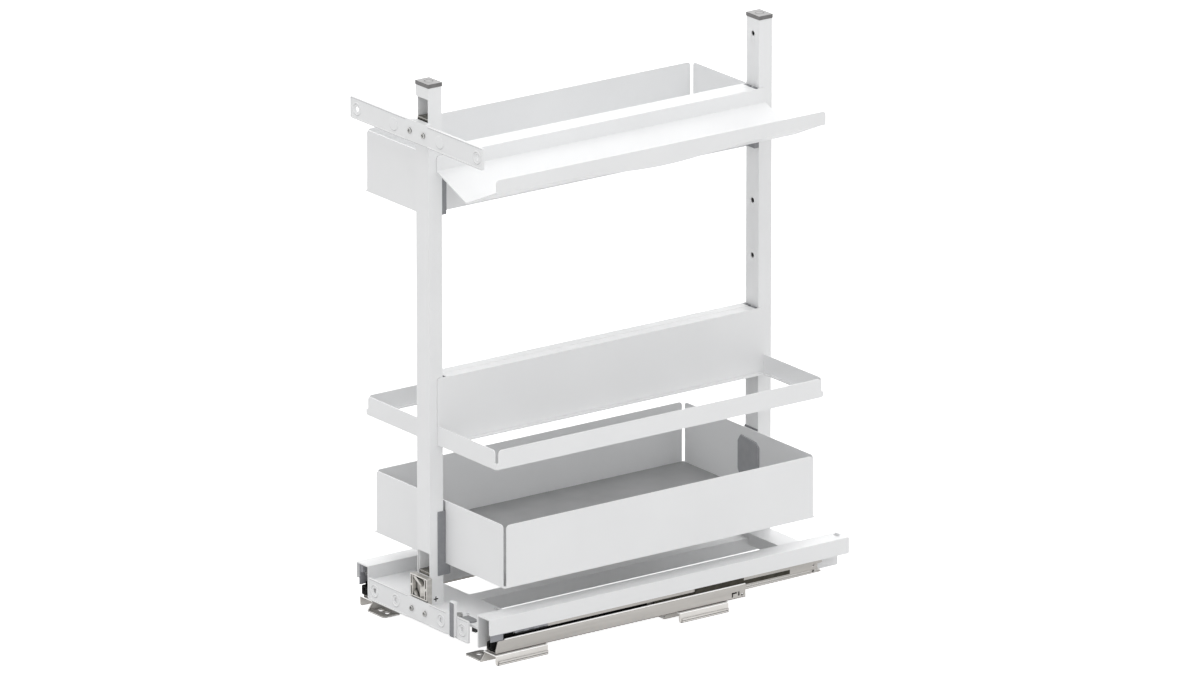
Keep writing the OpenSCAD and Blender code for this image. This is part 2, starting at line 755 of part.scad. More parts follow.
// Cabinet member: open channel that stays in the cabinet
module cabinet_member(side) {
  rear = cabinet_front_y + cabinet_length;
  outer_top = cabinet_bottom_z + cabinet_outer_rise;
  inner_top = cabinet_bottom_z + cabinet_inner_rise;
  cut_z = cabinet_bottom_z + cabinet_cut_height * 0.4;
  step_y = cabinet_front_y + cabinet_step_length;
  cut_y = rear - cabinet_cut_setback - cabinet_cut_length - cabinet_cut_line;
  on_side(side) color("silver") place() difference() {
    union() {
      span([cabinet_inner_x, cabinet_outer_x], [cabinet_front_y, rear],
        [cabinet_bottom_z, cabinet_bottom_z + runner_wall]);
      translate([cabinet_outer_x - runner_wall, 0, 0]) rotate([90, 0, 90]) linear_extrude(runner_wall)
        polygon([[cabinet_front_y, cabinet_bottom_z], [rear, cabinet_bottom_z], [rear, outer_top],
          [step_y + cabinet_step_height, outer_top], [step_y, outer_top - cabinet_step_height],
          [cabinet_front_y + cabinet_chamfer, outer_top - cabinet_step_height],
          [cabinet_front_y, cabinet_bottom_z + cabinet_chamfer_rise]]);
      span([cabinet_inner_x, cabinet_inner_x + runner_wall], [cabinet_front_y, rear],
        [cabinet_bottom_z, inner_top]);
    }
    span([cabinet_outer_x - runner_wall * 2, cabinet_outer_x + runner_wall],
      [cut_y, cut_y + cabinet_cut_line], [cut_z, cut_z + cabinet_cut_height]);
    span([cabinet_outer_x - runner_wall * 2, cabinet_outer_x + runner_wall],
      [cut_y, cut_y + cabinet_cut_length],
      [cut_z + cabinet_cut_height - cabinet_cut_line, cut_z + cabinet_cut_height]);
    span([cabinet_outer_x - runner_wall * 2, cabinet_outer_x + runner_wall],
      [rear - cabinet_cut_setback, rear - cabinet_cut_setback + cabinet_cut_line],
      [cut_z + cabinet_cut_height * 0.1, cut_z + cabinet_cut_height]);
    span([cabinet_outer_x - runner_wall * 2, cabinet_outer_x + runner_wall],
      [rear - cabinet_cut_setback * 0.6, rear - cabinet_cut_setback * 0.3],
      [cut_z, cut_z + cabinet_cut_height / 2]);
    for (start_y = [tongue_front_y, tongue_front_y + foot_pitch])
      for (place_share = [0.25, 0.75])
        bar_z((cabinet_inner_x + cabinet_outer_x) / 2,
          start_y + foot_setback
            + (start_y > tongue_front_y ? rear_foot_length : front_foot_length) * place_share,
          [cabinet_bottom_z - runner_wall, cabinet_bottom_z + runner_wall * 2], cabinet_hole_radius);
  }
}

// Rivets that join the cabinet members to the floor brackets, flush with the channel floor
module foot_rivets() color("silver") place()
  for (side = [-1, 1]) on_side(side)
    for (start_y = [tongue_front_y, tongue_front_y + foot_pitch])
      for (place_share = [0.25, 0.75]) {
        rivet_y = start_y + foot_setback
          + (start_y > tongue_front_y ? rear_foot_length : front_foot_length) * place_share;
        rivet_x = (cabinet_inner_x + cabinet_outer_x) / 2;
        bar_z(rivet_x, rivet_y, [foot_top_z - foot_wall, cabinet_bottom_z + runner_wall],
          cabinet_hole_radius);
        bar_z(rivet_x, rivet_y, [foot_top_z - foot_wall - rivet_head, foot_top_z - foot_wall],
          cabinet_hole_radius + rivet_head);
      }

module cabinet_member_left() cabinet_member(-1);
module cabinet_member_right() cabinet_member(1);

// Middle member: rolled box section with two pressed ribs and a pointed rear tip
module middle_member(side) {
  high = middle_top_z - middle_bottom_z;
  on_side(side) color("silver") place() difference() {
    union() {
      translate([middle_inner_x, middle_front_y, middle_bottom_z])
        rotate([90, 0, 90]) linear_extrude(middle_outer_x - middle_inner_x)
          polygon([[0, 0], [middle_rear_y - middle_front_y, high * 0.1],
            [middle_rear_y - middle_front_y - middle_tip, high * 0.3],
            [middle_rear_y - middle_front_y - middle_tip, high], [0, high]]);
    }
    span([middle_inner_x + middle_wall, middle_outer_x - middle_wall],
      [middle_front_y - middle_wall, middle_rear_y + middle_wall],
      [middle_bottom_z + middle_wall + high * 0.1, middle_top_z - middle_wall]);
    for (place_share = [0.18, 0.43])
      bar_x([middle_outer_x - middle_wall * 2, middle_outer_x + middle_wall], middle_rear_y - middle_tip * 2,
        middle_bottom_z + high * place_share, middle_hole_radius);
    for (k = [0, 1])
      span([middle_outer_x - slide_gap, middle_outer_x + middle_wall],
        [middle_front_y - middle_wall, middle_rear_y + middle_wall],
        [middle_bottom_z + middle_rib_z + middle_rib_pitch * k,
          middle_bottom_z + middle_rib_z + middle_rib_pitch * k + middle_rib_height]);
  }
}

module middle_member_left() middle_member(-1);
module middle_member_right() middle_member(1);

// Black plastic end piece on the front of the middle member, with a long strip on its outer face
module end_piece(side) {
  inner = middle_inner_x + end_piece_inset;
  outer = drawer_outer_x - slide_gap;
  base = cabinet_bottom_z + runner_wall + slide_gap + end_piece_lift;
  strip_x = [middle_outer_x, middle_outer_x + black_strip_wall];
  strip_z = [drawer_bottom_z - slide_gap - black_strip_height, drawer_bottom_z - slide_gap];
  notch_y = catch_front_y + catch_nose_length;
  on_side(side) color("black") place() {
    difference() {
      translate([inner, middle_front_y, base]) rotate([90, 0, 0])
        linear_extrude(end_piece_depth)
          panel(outer - inner, end_piece_height, end_piece_radius, runner_wall, runner_wall,
            end_piece_radius);
      span([inner + end_piece_radius, outer - end_piece_radius],
        [middle_front_y - end_piece_depth - middle_wall, middle_front_y - end_piece_depth * 0.4],
        [base + end_piece_height * 0.35, base + end_piece_height * 0.8]);
    }
    span(strip_x, [middle_front_y - end_piece_depth * 0.4, black_break_y], strip_z);
    span(strip_x, [black_break_y + black_break_length, black_strip_rear_y], strip_z);
    span(strip_x, [notch_y, notch_y + catch_notch_length], [strip_z[0], strip_z[1] + black_block_height]);
  }
}

module end_piece_left() end_piece(-1);
module end_piece_right() end_piece(1);

// Positions of the balls along a cage
function ball_y(front, length, k) = front + length * (k + 0.5) / ball_count;

// Radii of the balls that fill the spaces between the members
outer_ball = (cabinet_outer_x - runner_wall - middle_outer_x - 2 * slide_gap) / 2;
inner_ball = (middle_inner_x - cabinet_inner_x - runner_wall - 2 * slide_gap) / 2;
outer_ball_x = middle_outer_x + slide_gap + outer_ball;
inner_ball_x = middle_inner_x - slide_gap - inner_ball;
lower_ball_z = middle_bottom_z + (cabinet_inner_rise - runner_wall) / 2;
top_ball = (rail_under_z - runner_wall - middle_top_z - 2 * slide_gap) / 2;
top_ball_z = middle_top_z + slide_gap + top_ball;
side_ball = (middle_inner_x - drawer_inner_x - runner_wall - 2 * slide_gap) / 2;
side_ball_x = middle_inner_x - slide_gap - side_ball;
side_ball_z = middle_top_z - (middle_top_z - drawer_bottom_z) / 2;
runner_middle_x = (middle_inner_x + middle_outer_x) / 2;

// Lower ball cage: wraps the middle member from below, with a strip outside the carriage member
module lower_cage(side) {
  y = [lower_cage_front_y, lower_cage_front_y + lower_cage_length];
  strip_y = [y[0] + cage_strip_setback, y[0] + cage_strip_setback + cage_strip_length];
  base = cabinet_bottom_z + runner_wall + slide_gap;
  cover_y = [strip_y[0], strip_y[0] + cage_cover_length];
  strip_base = cabinet_bottom_z + cabinet_outer_rise + slide_gap;
  strip_outer = rail_outer_x - rail_wall - slide_gap;
  leg_outer = outer_ball_x + cage_wall / 2;
  leg_inner = inner_ball_x - cage_wall / 2;
  on_side(side) color("darkolivegreen") place() difference() {
    union() {
      span([leg_inner, leg_outer], y, [base, base + cage_wall]);
      span([leg_inner, leg_inner + cage_wall], y, [base, lower_ball_z + inner_ball + cage_wall]);
      span([leg_outer - cage_wall, leg_outer], y, [base, drawer_bottom_z - slide_gap]);
      span([leg_outer - cage_wall, leg_outer], strip_y,
        [strip_base - cage_strip_lap, drawer_bottom_z - slide_gap]);
      span([leg_outer - cage_wall, strip_outer], cover_y, [strip_base, drawer_bottom_z - slide_gap]);
      span([strip_outer - cage_strip_wall, strip_outer], cover_y,
        [strip_base, strip_base + cage_strip_height]);
    }
    for (k = [0 : ball_count - 1]) {
      bar_x([leg_outer - cage_wall * 2, leg_outer + cage_wall], ball_y(y[0], lower_cage_length, k),
        lower_ball_z, outer_ball + ball_play);
      bar_x([leg_inner - cage_wall, leg_inner + cage_wall * 2], ball_y(y[0], lower_cage_length, k),
        lower_ball_z, inner_ball + ball_play);
    }
  }
}

module lower_cage_left() lower_cage(-1);
module lower_cage_right() lower_cage(1);

module lower_balls(side) {
  on_side(side) color("gray") place()
    for (k = [0 : ball_count - 1]) {
      translate([outer_ball_x, ball_y(lower_cage_front_y, lower_cage_length, k), lower_ball_z])
        sphere(r = outer_ball);
      translate([inner_ball_x, ball_y(lower_cage_front_y, lower_cage_length, k), lower_ball_z])
        sphere(r = inner_ball);
    }
}

module lower_balls_left() lower_balls(-1);
module lower_balls_right() lower_balls(1);

// Upper ball cage: sits over the middle member inside the carriage member
module upper_cage(side) {
  y = [upper_cage_front_y, upper_cage_front_y + upper_cage_length];
  deck = top_ball_z - cage_wall / 2;
  outer = drawer_outer_x - runner_wall - slide_gap;
  inner = side_ball_x - cage_wall / 2;
  low = drawer_bottom_z + runner_wall;
  on_side(side) color("darkolivegreen") place() difference() {
    union() {
      span([inner, outer], y, [deck, deck + cage_wall]);
      span([inner, inner + cage_wall], y, [low, deck + cage_wall]);
      span([middle_outer_x + slide_gap, outer], y, [strip_clear_z, deck + cage_wall]);
    }
    for (k = [0 : ball_count - 1]) {
      bar_z(runner_middle_x, ball_y(y[0], upper_cage_length, k), [deck - cage_wall, deck + cage_wall * 2],
        top_ball + ball_play);
      bar_x([inner - cage_wall, inner + cage_wall * 2], ball_y(y[0], upper_cage_length, k),
        side_ball_z, side_ball + ball_play);
    }
  }
}
strip_clear_z = cabinet_bottom_z + cabinet_outer_rise + cage_strip_height;

module upper_cage_left() upper_cage(-1);
module upper_cage_right() upper_cage(1);

module upper_balls(side) {
  on_side(side) color("gray") place()
    for (k = [0 : ball_count - 1]) {
      translate([runner_middle_x, ball_y(upper_cage_front_y, upper_cage_length, k), top_ball_z])
        sphere(r = top_ball);
      translate([side_ball_x, ball_y(upper_cage_front_y, upper_cage_length, k), side_ball_z])
        sphere(r = side_ball);
    }
}

module upper_balls_left() upper_balls(-1);
module upper_balls_right() upper_balls(1);

// Carriage member: channel fixed under the rail, open below
module carriage_member(side) {
  y = [drawer_front_y, drawer_rear_y];
  on_side(side) color("silver") place() {
    span([drawer_inner_x, drawer_outer_x], y, [rail_under_z - runner_wall, rail_under_z]);
    span([drawer_outer_x - runner_wall, drawer_outer_x], y, [drawer_bottom_z, rail_under_z]);
    span([drawer_inner_x, drawer_inner_x + runner_wall], y, [drawer_bottom_z, rail_under_z]);
  }
}

module carriage_member_left() carriage_member(-1);
module carriage_member_right() carriage_member(1);

// Plastic catch strip on the outer face of the carriage member
module catch_strip(side) {
  y = [catch_front_y, catch_front_y + catch_length];
  z = [drawer_bottom_z, drawer_bottom_z + catch_height];
  nose_y = y[0] + catch_nose_length;
  nose_z = cabinet_bottom_z + cabinet_outer_rise - cabinet_step_height + slide_gap;
  block_y = y[0] + catch_block_setback;
  block_top = rail_top_z - catch_block_drop;
  on_side(side) color("dimgray") place() difference() {
    union() {
      sheet_along(drawer_outer_x, y, z, catch_wall, catch_wall, catch_wall, 0, 0);
      span([drawer_outer_x, drawer_outer_x + catch_wall], [y[0], nose_y], [nose_z, z[1]]);
      span([drawer_outer_x, drawer_outer_x + catch_wall], [block_y, block_y + catch_block_length],
        [nose_z, block_top]);
      span([drawer_outer_x - catch_block_width, drawer_outer_x + catch_wall],
        [block_y, block_y + catch_block_length], [block_top - catch_block_height, block_top]);
    }
    span([drawer_outer_x - catch_wall, drawer_outer_x + catch_wall * 2],
      [nose_y, nose_y + catch_notch_length], [z[0] - catch_wall, z[1] - catch_notch_height]);
    for (place_share = [0.48, 0.66, 0.84])
      span([drawer_outer_x + catch_wall / 2, drawer_outer_x + catch_wall * 2],
        [y[0] + catch_length * place_share, y[0] + catch_length * (place_share + 0.1)],
        [drawer_bottom_z + catch_height * 0.25, drawer_bottom_z + catch_height * 0.5]);
  }
}

module catch_strip_left() catch_strip(-1);
module catch_strip_right() catch_strip(1);

// Rail: inverted channel with a longer inner flange and a bent hook at the rear
module rail(side) {
  y = [rail_front_y, rail_rear_y];
  hook_y = rail_rear_y - hook_setback;
  on_side(side) color("white") place() {
    difference() {
      span([rail_inner_x, rail_outer_x], y, [rail_top_z - rail_wall, rail_top_z]);
      span([hook_x - hook_length / 2, hook_x + hook_length / 2], [hook_y - hook_height * 1.5, hook_y],
        [rail_top_z - rail_wall * 2, rail_top_z + rail_wall]);
    }
    sheet_along(rail_outer_x - rail_wall, y, [rail_top_z - rail_outer_drop, rail_top_z], rail_wall,
      rail_wall, rail_wall, 0, 0);
    sheet_along(rail_inner_x, y, [rail_top_z - rail_inner_drop, rail_top_z], rail_wall,
      rail_wall, rail_wall, 0, 0);
    span([hook_x - hook_length / 2, hook_x + hook_length / 2],
      [hook_y - rail_wall / 2, hook_y + rail_wall / 2], [rail_top_z - rail_wall, rail_top_z + hook_height]);
  }
}

module rail_left() rail(-1);
module rail_right() rail(1);

// Front of the deck in its cut corners
deck_corner_y = deck_front_y + deck_corner_depth;

// Deck: folded plate between the rails
module deck(front, rear) {
  low = deck_top_z - deck_fold;
  x = [-rail_inner_x, rail_inner_x];
  difference() {
    union() {
      span(x, [front, rear], [deck_top_z - deck_wall, deck_top_z]);
      span(x, [front, front + deck_wall], [low, deck_top_z]);
      span(x, [rear - deck_wall, rear], [low, deck_top_z]);
    }
    children();
  }
}

beam_front_y = deck_rear_y - beam_lap;
beam_rear_y = rear_deck_front_y + beam_lap * 0.8;

module beam_space() {
  span([-beam_half_width, beam_half_width], [beam_front_y, beam_rear_y],
    [beam_top_z - beam_height, beam_top_z]);
}

module front_deck() color("white") place() {
  for (side = [-1, 1]) on_side(side)
    span([rail_inner_x - deck_corner_length, rail_inner_x], [deck_corner_y, deck_corner_y + deck_wall],
      [deck_top_z - deck_corner_fold, deck_top_z]);
  deck(deck_front_y, deck_rear_y) {
    for (side = [-1, 1]) on_side(side)
      span([rail_inner_x - deck_corner_length, rail_inner_x + deck_wall],
        [deck_front_y - deck_wall, deck_corner_y],
        [deck_top_z - deck_fold * 2, deck_top_z + deck_wall]);
    slot_z(latch_slot_x, latch_slot_y, [deck_top_z - deck_wall * 2, deck_top_z + deck_wall],
      latch_slot_length, latch_slot_width);
    beam_space();
    slot_z(deck_hole_x, deck_rear_y - deck_hole_setback,
      [deck_top_z - deck_wall * 2, deck_top_z + deck_wall], deck_hole_length, deck_hole_width);
    for (side = [-1, 1])
      bar_y(side * low_screw_x, [deck_front_y - deck_wall, deck_front_y + deck_wall * 2],
        low_screw_z, screw_radius);
  }
}

module rear_deck() color("white") place() {
  deck(rear_deck_front_y, rear_deck_rear_y) beam_space();
}

// Centre beam: inverted channel under the decks
module centre_beam() color("white") place() difference() {
  beam_space();
  span([-beam_half_width + beam_wall, beam_half_width - beam_wall],
    [beam_front_y - beam_wall, beam_rear_y + beam_wall],
    [beam_top_z - beam_height * 2, beam_top_z - beam_wall]);
}

// Clip heights shared by the posts and the clips
upper_clip_top_z = upper_flange_z - sheet - hang_gap;
upper_clip_z = upper_clip_top_z - upper_clip_height;
middle_clip_top_z = rack_flange_z - sheet - hang_gap;
middle_clip_z = middle_clip_top_z - middle_clip_height;
upper_peg_z = upper_clip_z + upper_clip_height / 2;
middle_peg_z = middle_clip_z + middle_clip_height / 2;
lower_peg_z = (low_clip_z + low_clip_top_z) / 2;

// Post: rectangular tube with peg holes in the face towards the other post
module post(front, hole_y) {
  inner = [front + post_wall, front + post_depth - post_wall];
  difference() {
    span([-post_half, post_half], [front, front + post_depth], [deck_top_z, post_top]);
    span([-post_half + post_wall, post_half - post_wall], inner,
      [deck_top_z - post_wall, post_top + post_wall]);
    for (z = [peg_low_z, peg_mid_z, peg_high_z, upper_peg_z, middle_peg_z, lower_peg_z])
      bar_y(0, hole_y, z, peg_hole_radius);
    for (side = [-1, 1])
      bar_x([side * post_half - post_wall * 1.5, side * post_half + post_wall * 1.5],
        front + post_screw_y, post_screw_z, screw_head_radius);
    children();
  }
}

// Window through the front wall of the post, from its left side to half the width of a window
module window(base, left) {
  translate([left, post_wall * 1.5, base]) rotate([90, 0, 0])
    linear_extrude(post_wall * 2)
      panel(window_width / 2 - left, window_height, window_radius, window_radius,
        window_radius, window_radius);
}

module front_post() color("white") place()
  post(0, [post_depth - post_wall * 1.5, post_depth + post_wall]) {
    window(window_upper_z, -post_half - post_wall);
    window(window_lower_z, -window_width / 2);
  }

module rear_post() color("white") place()
  post(post_pitch, [post_pitch - post_wall, post_pitch + post_wall * 1.5]);

// Cap: flat top with a shallow ring and a hollow plug inside the tube
module cap(front) {
  side = cap_side;
  plug_half = post_half - post_wall;
  difference() {
    union() {
      span([-side, side], [front - cap_overhang, front + post_depth + cap_overhang],
        [post_top, post_top + cap_height]);
      span([-plug_half, plug_half], [front + post_wall, front + post_depth - post_wall],
        [post_top - cap_plug, post_top]);
    }
    span([-plug_half + cap_plug_wall, plug_half - cap_plug_wall],
      [front + post_wall + cap_plug_wall, front + post_depth - post_wall - cap_plug_wall],
      [post_top - cap_plug * 2, post_top]);
    difference() {
      bar_z(0, front + post_depth / 2, [post_top + cap_height - cap_groove, post_top + cap_height * 2],
        cap_ring_radius);
      bar_z(0, front + post_depth / 2, [post_top, post_top + cap_height * 3],
        cap_ring_radius - cap_groove);
    }
  }
}

module post_caps() color("dimgray") place() {
  cap(0);
  cap(post_pitch);
}

// Inserts: cast blocks inside the tubes
module insert(front, low, high) {
  half = post_half - post_wall;
  difference() {
    span([-half, half], [front + post_wall, front + post_depth - post_wall], [low, high]);
    children();
  }
}

module screw_bores(front) {
  for (side = [-1, 1])
    bar_x([side > 0 ? 0 : -post_half, side > 0 ? post_half : 0],
      front + post_screw_y, post_screw_z, screw_radius);
}

module upper_insert() color("darkgray") place()
  insert(0, window_upper_z + insert_rise - insert_height, window_upper_z + insert_rise)
    for (side = [-1, 1])
      bar_y(side * post_half * 0.4, [0, post_depth], window_upper_z + insert_rise - insert_height / 3,
        screw_radius);

module lower_insert() color("darkgray") place()
  insert(0, deck_top_z, window_lower_z + insert_rise) {
    screw_bores(0);
    bar_y(0, [post_depth * 0.3, post_depth * 2], lower_peg_z, lower_peg_hole_radius);
  }

module rear_insert() color("darkgray") place()
  insert(post_pitch, deck_top_z, window_lower_z + insert_rise)
    screw_bores(post_pitch);

// Screws through the sides of both posts, heads flush with the tube
module post_screws() color("silver") place()
  for (front = [0, post_pitch]) for (side = [-1, 1]) on_side(side) difference() {
    union() {
      bar_x([post_half - post_wall, post_half], front + post_screw_y, post_screw_z, screw_head_radius);
      bar_x([post_half / 3, post_half - post_wall], front + post_screw_y, post_screw_z, screw_radius);
    }
    span([post_half - post_cross_depth, post_half + post_wall],
      [front + post_screw_y - post_cross_reach, front + post_screw_y + post_cross_reach],
      [post_screw_z - cross_width / 2, post_screw_z + cross_width / 2]);
    span([post_half - post_cross_depth, post_half + post_wall],
      [front + post_screw_y - cross_width / 2, front + post_screw_y + cross_width / 2],
      [post_screw_z - post_cross_reach, post_screw_z + post_cross_reach]);
  }

// Upper adjuster: shallow cast block between the post and the upper bracket
adjuster_face_y = bracket_rear_y + hang_gap;
module upper_adjuster() color("gainsboro") place() difference() {
  sheet_across([-top_adjuster_half, top_adjuster_half], adjuster_face_y,
    [top_adjuster_z, top_adjuster_z + top_adjuster_height], -adjuster_face_y,
    cast_wall, cast_wall, cast_wall, cast_wall);
  span([-top_adjuster_half + cast_wall * 4, top_adjuster_half - cast_wall * 4],
    [adjuster_face_y - cast_wall, -cast_wall],
    [top_adjuster_z + cast_wall * 2, top_adjuster_z + top_adjuster_height - cast_wall]);
  for (side = [-1, 1])
    bar_y(side * top_screw_x, [adjuster_face_y - cast_wall, -cast_wall], top_hole_z, screw_radius);
}

// Lower adjuster: cast block with a ribbed pocket, standing on the front deck
step_z = low_bracket_z + low_bracket_height + adjust_travel + hang_gap;
module lower_adjuster() color("darkgray") place() {
  half = low_adjuster_half;
  pocket_half = half - cast_wall * 2 - cast_slot;
  pocket_z = [step_z + cast_wall, low_adjuster_top_z - cast_wall];
  middle_z = (pocket_z[0] + pocket_z[1]) / 2;
  difference() {
    union() {
      span([-half, half], [cast_front_y, 0], [step_z, low_adjuster_top_z]);
      span([-half, half], [adjuster_face_y, 0], [deck_top_z, step_z]);
    }
    span([-pocket_half, pocket_half], [cast_front_y - cast_wall, -cast_wall], pocket_z);
    for (side = [-1, 1]) {
      span([side * (half - cast_wall - cast_slot / 2) - cast_slot / 2,
        side * (half - cast_wall - cast_slot / 2) + cast_slot / 2],
        [cast_front_y - cast_wall, -cast_wall], [pocket_z[0], middle_z - cast_wall]);
      span([side * (half - cast_wall - cast_slot / 2) - cast_slot / 2,
        side * (half - cast_wall - cast_slot / 2) + cast_slot / 2],
        [cast_front_y - cast_wall, -cast_wall], [middle_z + cast_wall, pocket_z[1]]);
    }
  }
  rotate([90, 0, 0]) linear_extrude(-cast_front_y - cast_wall / 2)
    polygon([[-pocket_half, pocket_z[1]], [-pocket_half, pocket_z[1] - cast_wall * 1.4],
      [pocket_half * 0.1, middle_z + cast_wall * 1.4], [pocket_half * 0.5, middle_z + cast_wall * 1.4],
      [-pocket_half * 0.55, pocket_z[1]]]);
  rotate([90, 0, 0]) linear_extrude(-cast_front_y - cast_wall)
    polygon([[-pocket_half, pocket_z[0]], [-pocket_half, pocket_z[0] + cast_wall * 3.4],
      [-pocket_half * 0.3, pocket_z[0]]]);
  translate([0, 0, pocket_z[0]]) linear_extrude(middle_z + cast_wall * 1.6 - pocket_z[0])
    polygon([[-pocket_half * 0.8, -cast_wall / 2], [pocket_half * 0.15, cast_front_y + cast_wall],
      [pocket_half * 0.9, -cast_wall / 2]]);
}

// Screws in front of the brackets with a cross recess
module front_screw(x, z, end_y) {
  head_rear = bracket_front_y - hang_gap;
  difference() {
    union() {
      bar_y(x, [head_rear - screw_head, head_rear], z, screw_head_radius);
      bar_y(x, [head_rear, end_y], z, screw_radius);
    }
    cross_front(x, [head_rear - screw_head * 2, head_rear - screw_head + cross_depth], z, screw_radius);
  }
}

nut_rear_y = deck_front_y + deck_wall + nut_height;
module bracket_screws() color("silver") place()
  for (side = [-1, 1]) {
    front_screw(side * top_screw_x, top_hole_z, -cast_wall);
    front_screw(side * low_screw_x, low_screw_z, nut_rear_y);
  }

module weld_nuts() color("silver") place()
  for (side = [-1, 1]) difference() {
    translate([side * low_screw_x, deck_front_y + deck_wall, low_screw_z]) rotate([-90, 0, 0])
      cylinder(h = nut_height, r = nut_radius, $fn = 6);
    bar_y(side * low_screw_x, [deck_front_y, nut_rear_y + nut_height], low_screw_z, screw_radius);
  }

// Latch parts on the right of the front deck
module latch_block() color("gray") place() {
  hook_x = [rail_inner_x - hang_gap - hook_plate_width, rail_inner_x - hang_gap];
  hook_top = deck_top_z - deck_corner_fold;
  hook_y = [deck_corner_y, deck_corner_y + hook_plate_wall];
  translate([latch_inner_x, latch_front_y, deck_top_z]) linear_extrude(latch_height)
    panel(latch_width, latch_depth, 0, latch_radius, latch_radius, 0);
  translate([0, hook_y[1], 0]) rotate([90, 0, 0]) linear_extrude(hook_plate_wall)
    polygon([[hook_x[0], hook_top], [hook_x[0], hook_top - hook_plate_height],
      [hook_x[1] - hook_plate_width * 0.5, hook_top - hook_plate_height * 0.9],
      [hook_x[1], hook_top - hook_plate_height * 0.3], [hook_x[1], hook_top]]);
}

module latch_collar() color("silver") place() difference() {
  bar_z(collar_x, collar_y, [deck_top_z, deck_top_z + collar_height], collar_radius);
  bar_z(collar_x, collar_y, [deck_top_z - collar_height, deck_top_z + collar_height * 2], screw_radius);
}

module latch_screw() color("gray") place() difference() {
  union() {
    bar_z(collar_x, collar_y, [deck_top_z, deck_top_z + collar_height], screw_radius);
    bar_z(collar_x, collar_y, [deck_top_z + collar_height, deck_top_z + collar_height + screw_head],
      screw_head_radius);
  }
  bar_z(collar_x, collar_y, [deck_top_z + collar_height, deck_top_z + collar_height * 2 + screw_head],
    screw_radius * 0.9);
}

// A pressed rim frame on the front of a bracket between two X values
module rim(x, z, end_low, end_high) {
  ends = (end_low ? rim_width : -rim_width) + (end_high ? rim_width : -rim_width);
  translate([x[0], bracket_front_y, z[0]]) rotate([90, 0, 0]) linear_extrude(rim_proud) difference() {
    panel(x[1] - x[0], z[1] - z[0], end_low ? bracket_radius : 0, end_high ? bracket_radius : 0,
      end_high ? bracket_radius : 0, end_low ? bracket_radius : 0);
    translate([end_low ? rim_width : -rim_width, rim_width])
      square([x[1] - x[0] - ends, z[1] - z[0] - rim_width * 2]);
  }
}

// A pressed ring round a bracket hole
module ring(x, z) {
  difference() {
    bar_y(x, [bracket_front_y - rim_proud, bracket_front_y], z, ring_radius);
    bar_y(x, [bracket_front_y - rim_proud * 2, bracket_front_y], z, ring_radius - rim_width);
  }
}

module bracket_sheet(half, low, high) {
  sheet_across([-half, half], bracket_front_y, [low, low + high], bracket_wall,
    bracket_radius, bracket_radius, bracket_radius, bracket_radius);
}

module upper_bracket() color("white") place() difference() {
  union() {
    bracket_sheet(top_bracket_half, top_bracket_z, top_bracket_height);
    for (side = [-1, 1]) {
      on_side(side) rim([flat_half, top_bracket_half], [top_bracket_z, top_bracket_z + top_bracket_height],
        false, true);
      ring(side * top_hole_x, top_hole_z);
      bar_y(side * top_disc_x, [bracket_front_y - rim_proud, bracket_front_y], top_hole_z, ring_radius);
    }
  }
  for (side = [-1, 1]) {
    bar_y(side * top_hole_x, [bracket_front_y - bracket_wall, bracket_rear_y + bracket_wall], top_hole_z,
      bracket_hole_radius);
    translate([side * top_screw_x, 0, top_hole_z]) rotate([90, 0, 0])
      slot_z(0, 0, [-bracket_rear_y - bracket_wall, -bracket_front_y + bracket_wall],
        (screw_radius + adjust_travel) * 2 + ball_play * 4, screw_radius * 2 + ball_play * 4);
    bar_y(side * top_disc_x, [bracket_rear_y - rim_proud, bracket_rear_y + bracket_wall], top_hole_z,
      ring_radius - rim_width);
  }
}

module lower_bracket() color("white") place() difference() {
  z = [low_bracket_z, low_bracket_z + low_bracket_height];
  lug_x = [lever_inner_x + lever_wall * 2, lever_outer_x - lever_wall * 2];
  union() {
    bracket_sheet(low_bracket_half, low_bracket_z, low_bracket_height);
    rim([flat_half, lever_flat_inner_x], z, false, false);
    rim([lever_flat_outer_x, low_bracket_half], z, true, true);
    mirror([1, 0, 0]) rim([flat_half, low_bracket_half], z, false, true);
    for (side = [-1, 1]) {
      ring(side * low_hole_outer_x, low_hole_z);
      ring(side * low_hole_inner_x, low_hole_z);
    }
    bar_x(lug_x, lever_axis_y, lever_axis_z, lever_lug_radius);
    span(lug_x, [lever_axis_y, bracket_front_y],
      [lever_axis_z - lever_lug_radius, lever_axis_z + lever_lug_radius]);
  }
  for (side = [-1, 1]) {
    bar_y(side * low_hole_outer_x, [bracket_front_y - bracket_wall, bracket_rear_y + bracket_wall],
      low_hole_z, bracket_hole_radius);
    bar_y(side * low_hole_inner_x, [bracket_front_y - bracket_wall, bracket_rear_y + bracket_wall],
      low_hole_z, bracket_hole_radius);
    translate([side * low_screw_x, 0, low_screw_z]) rotate([0, 90, 0]) rotate([90, 0, 0])
      slot_z(0, 0, [-bracket_rear_y - bracket_wall, -bracket_front_y + bracket_wall],
        (screw_radius + adjust_travel) * 2 + ball_play * 4, screw_radius * 2 + ball_play * 4);
  }
  bar_x([lever_inner_x, lever_outer_x], lever_axis_y, lever_axis_z, lever_pin_radius + pin_play);
}

// Lever: hollow bar that tips forward on a pin at its foot
module lever_outline() {
  front = -lever_front_y - lever_pad;
  rear = -lever_rear_y;
  axis = -lever_axis_y;
  union() {
    translate([axis, lever_axis_z]) circle(r = lever_end_radius);
    translate([rear, lever_axis_z])
      panel(front - rear, lever_top_z - lever_axis_z, 0, 0, lever_nose_radius, 0);
  }
}

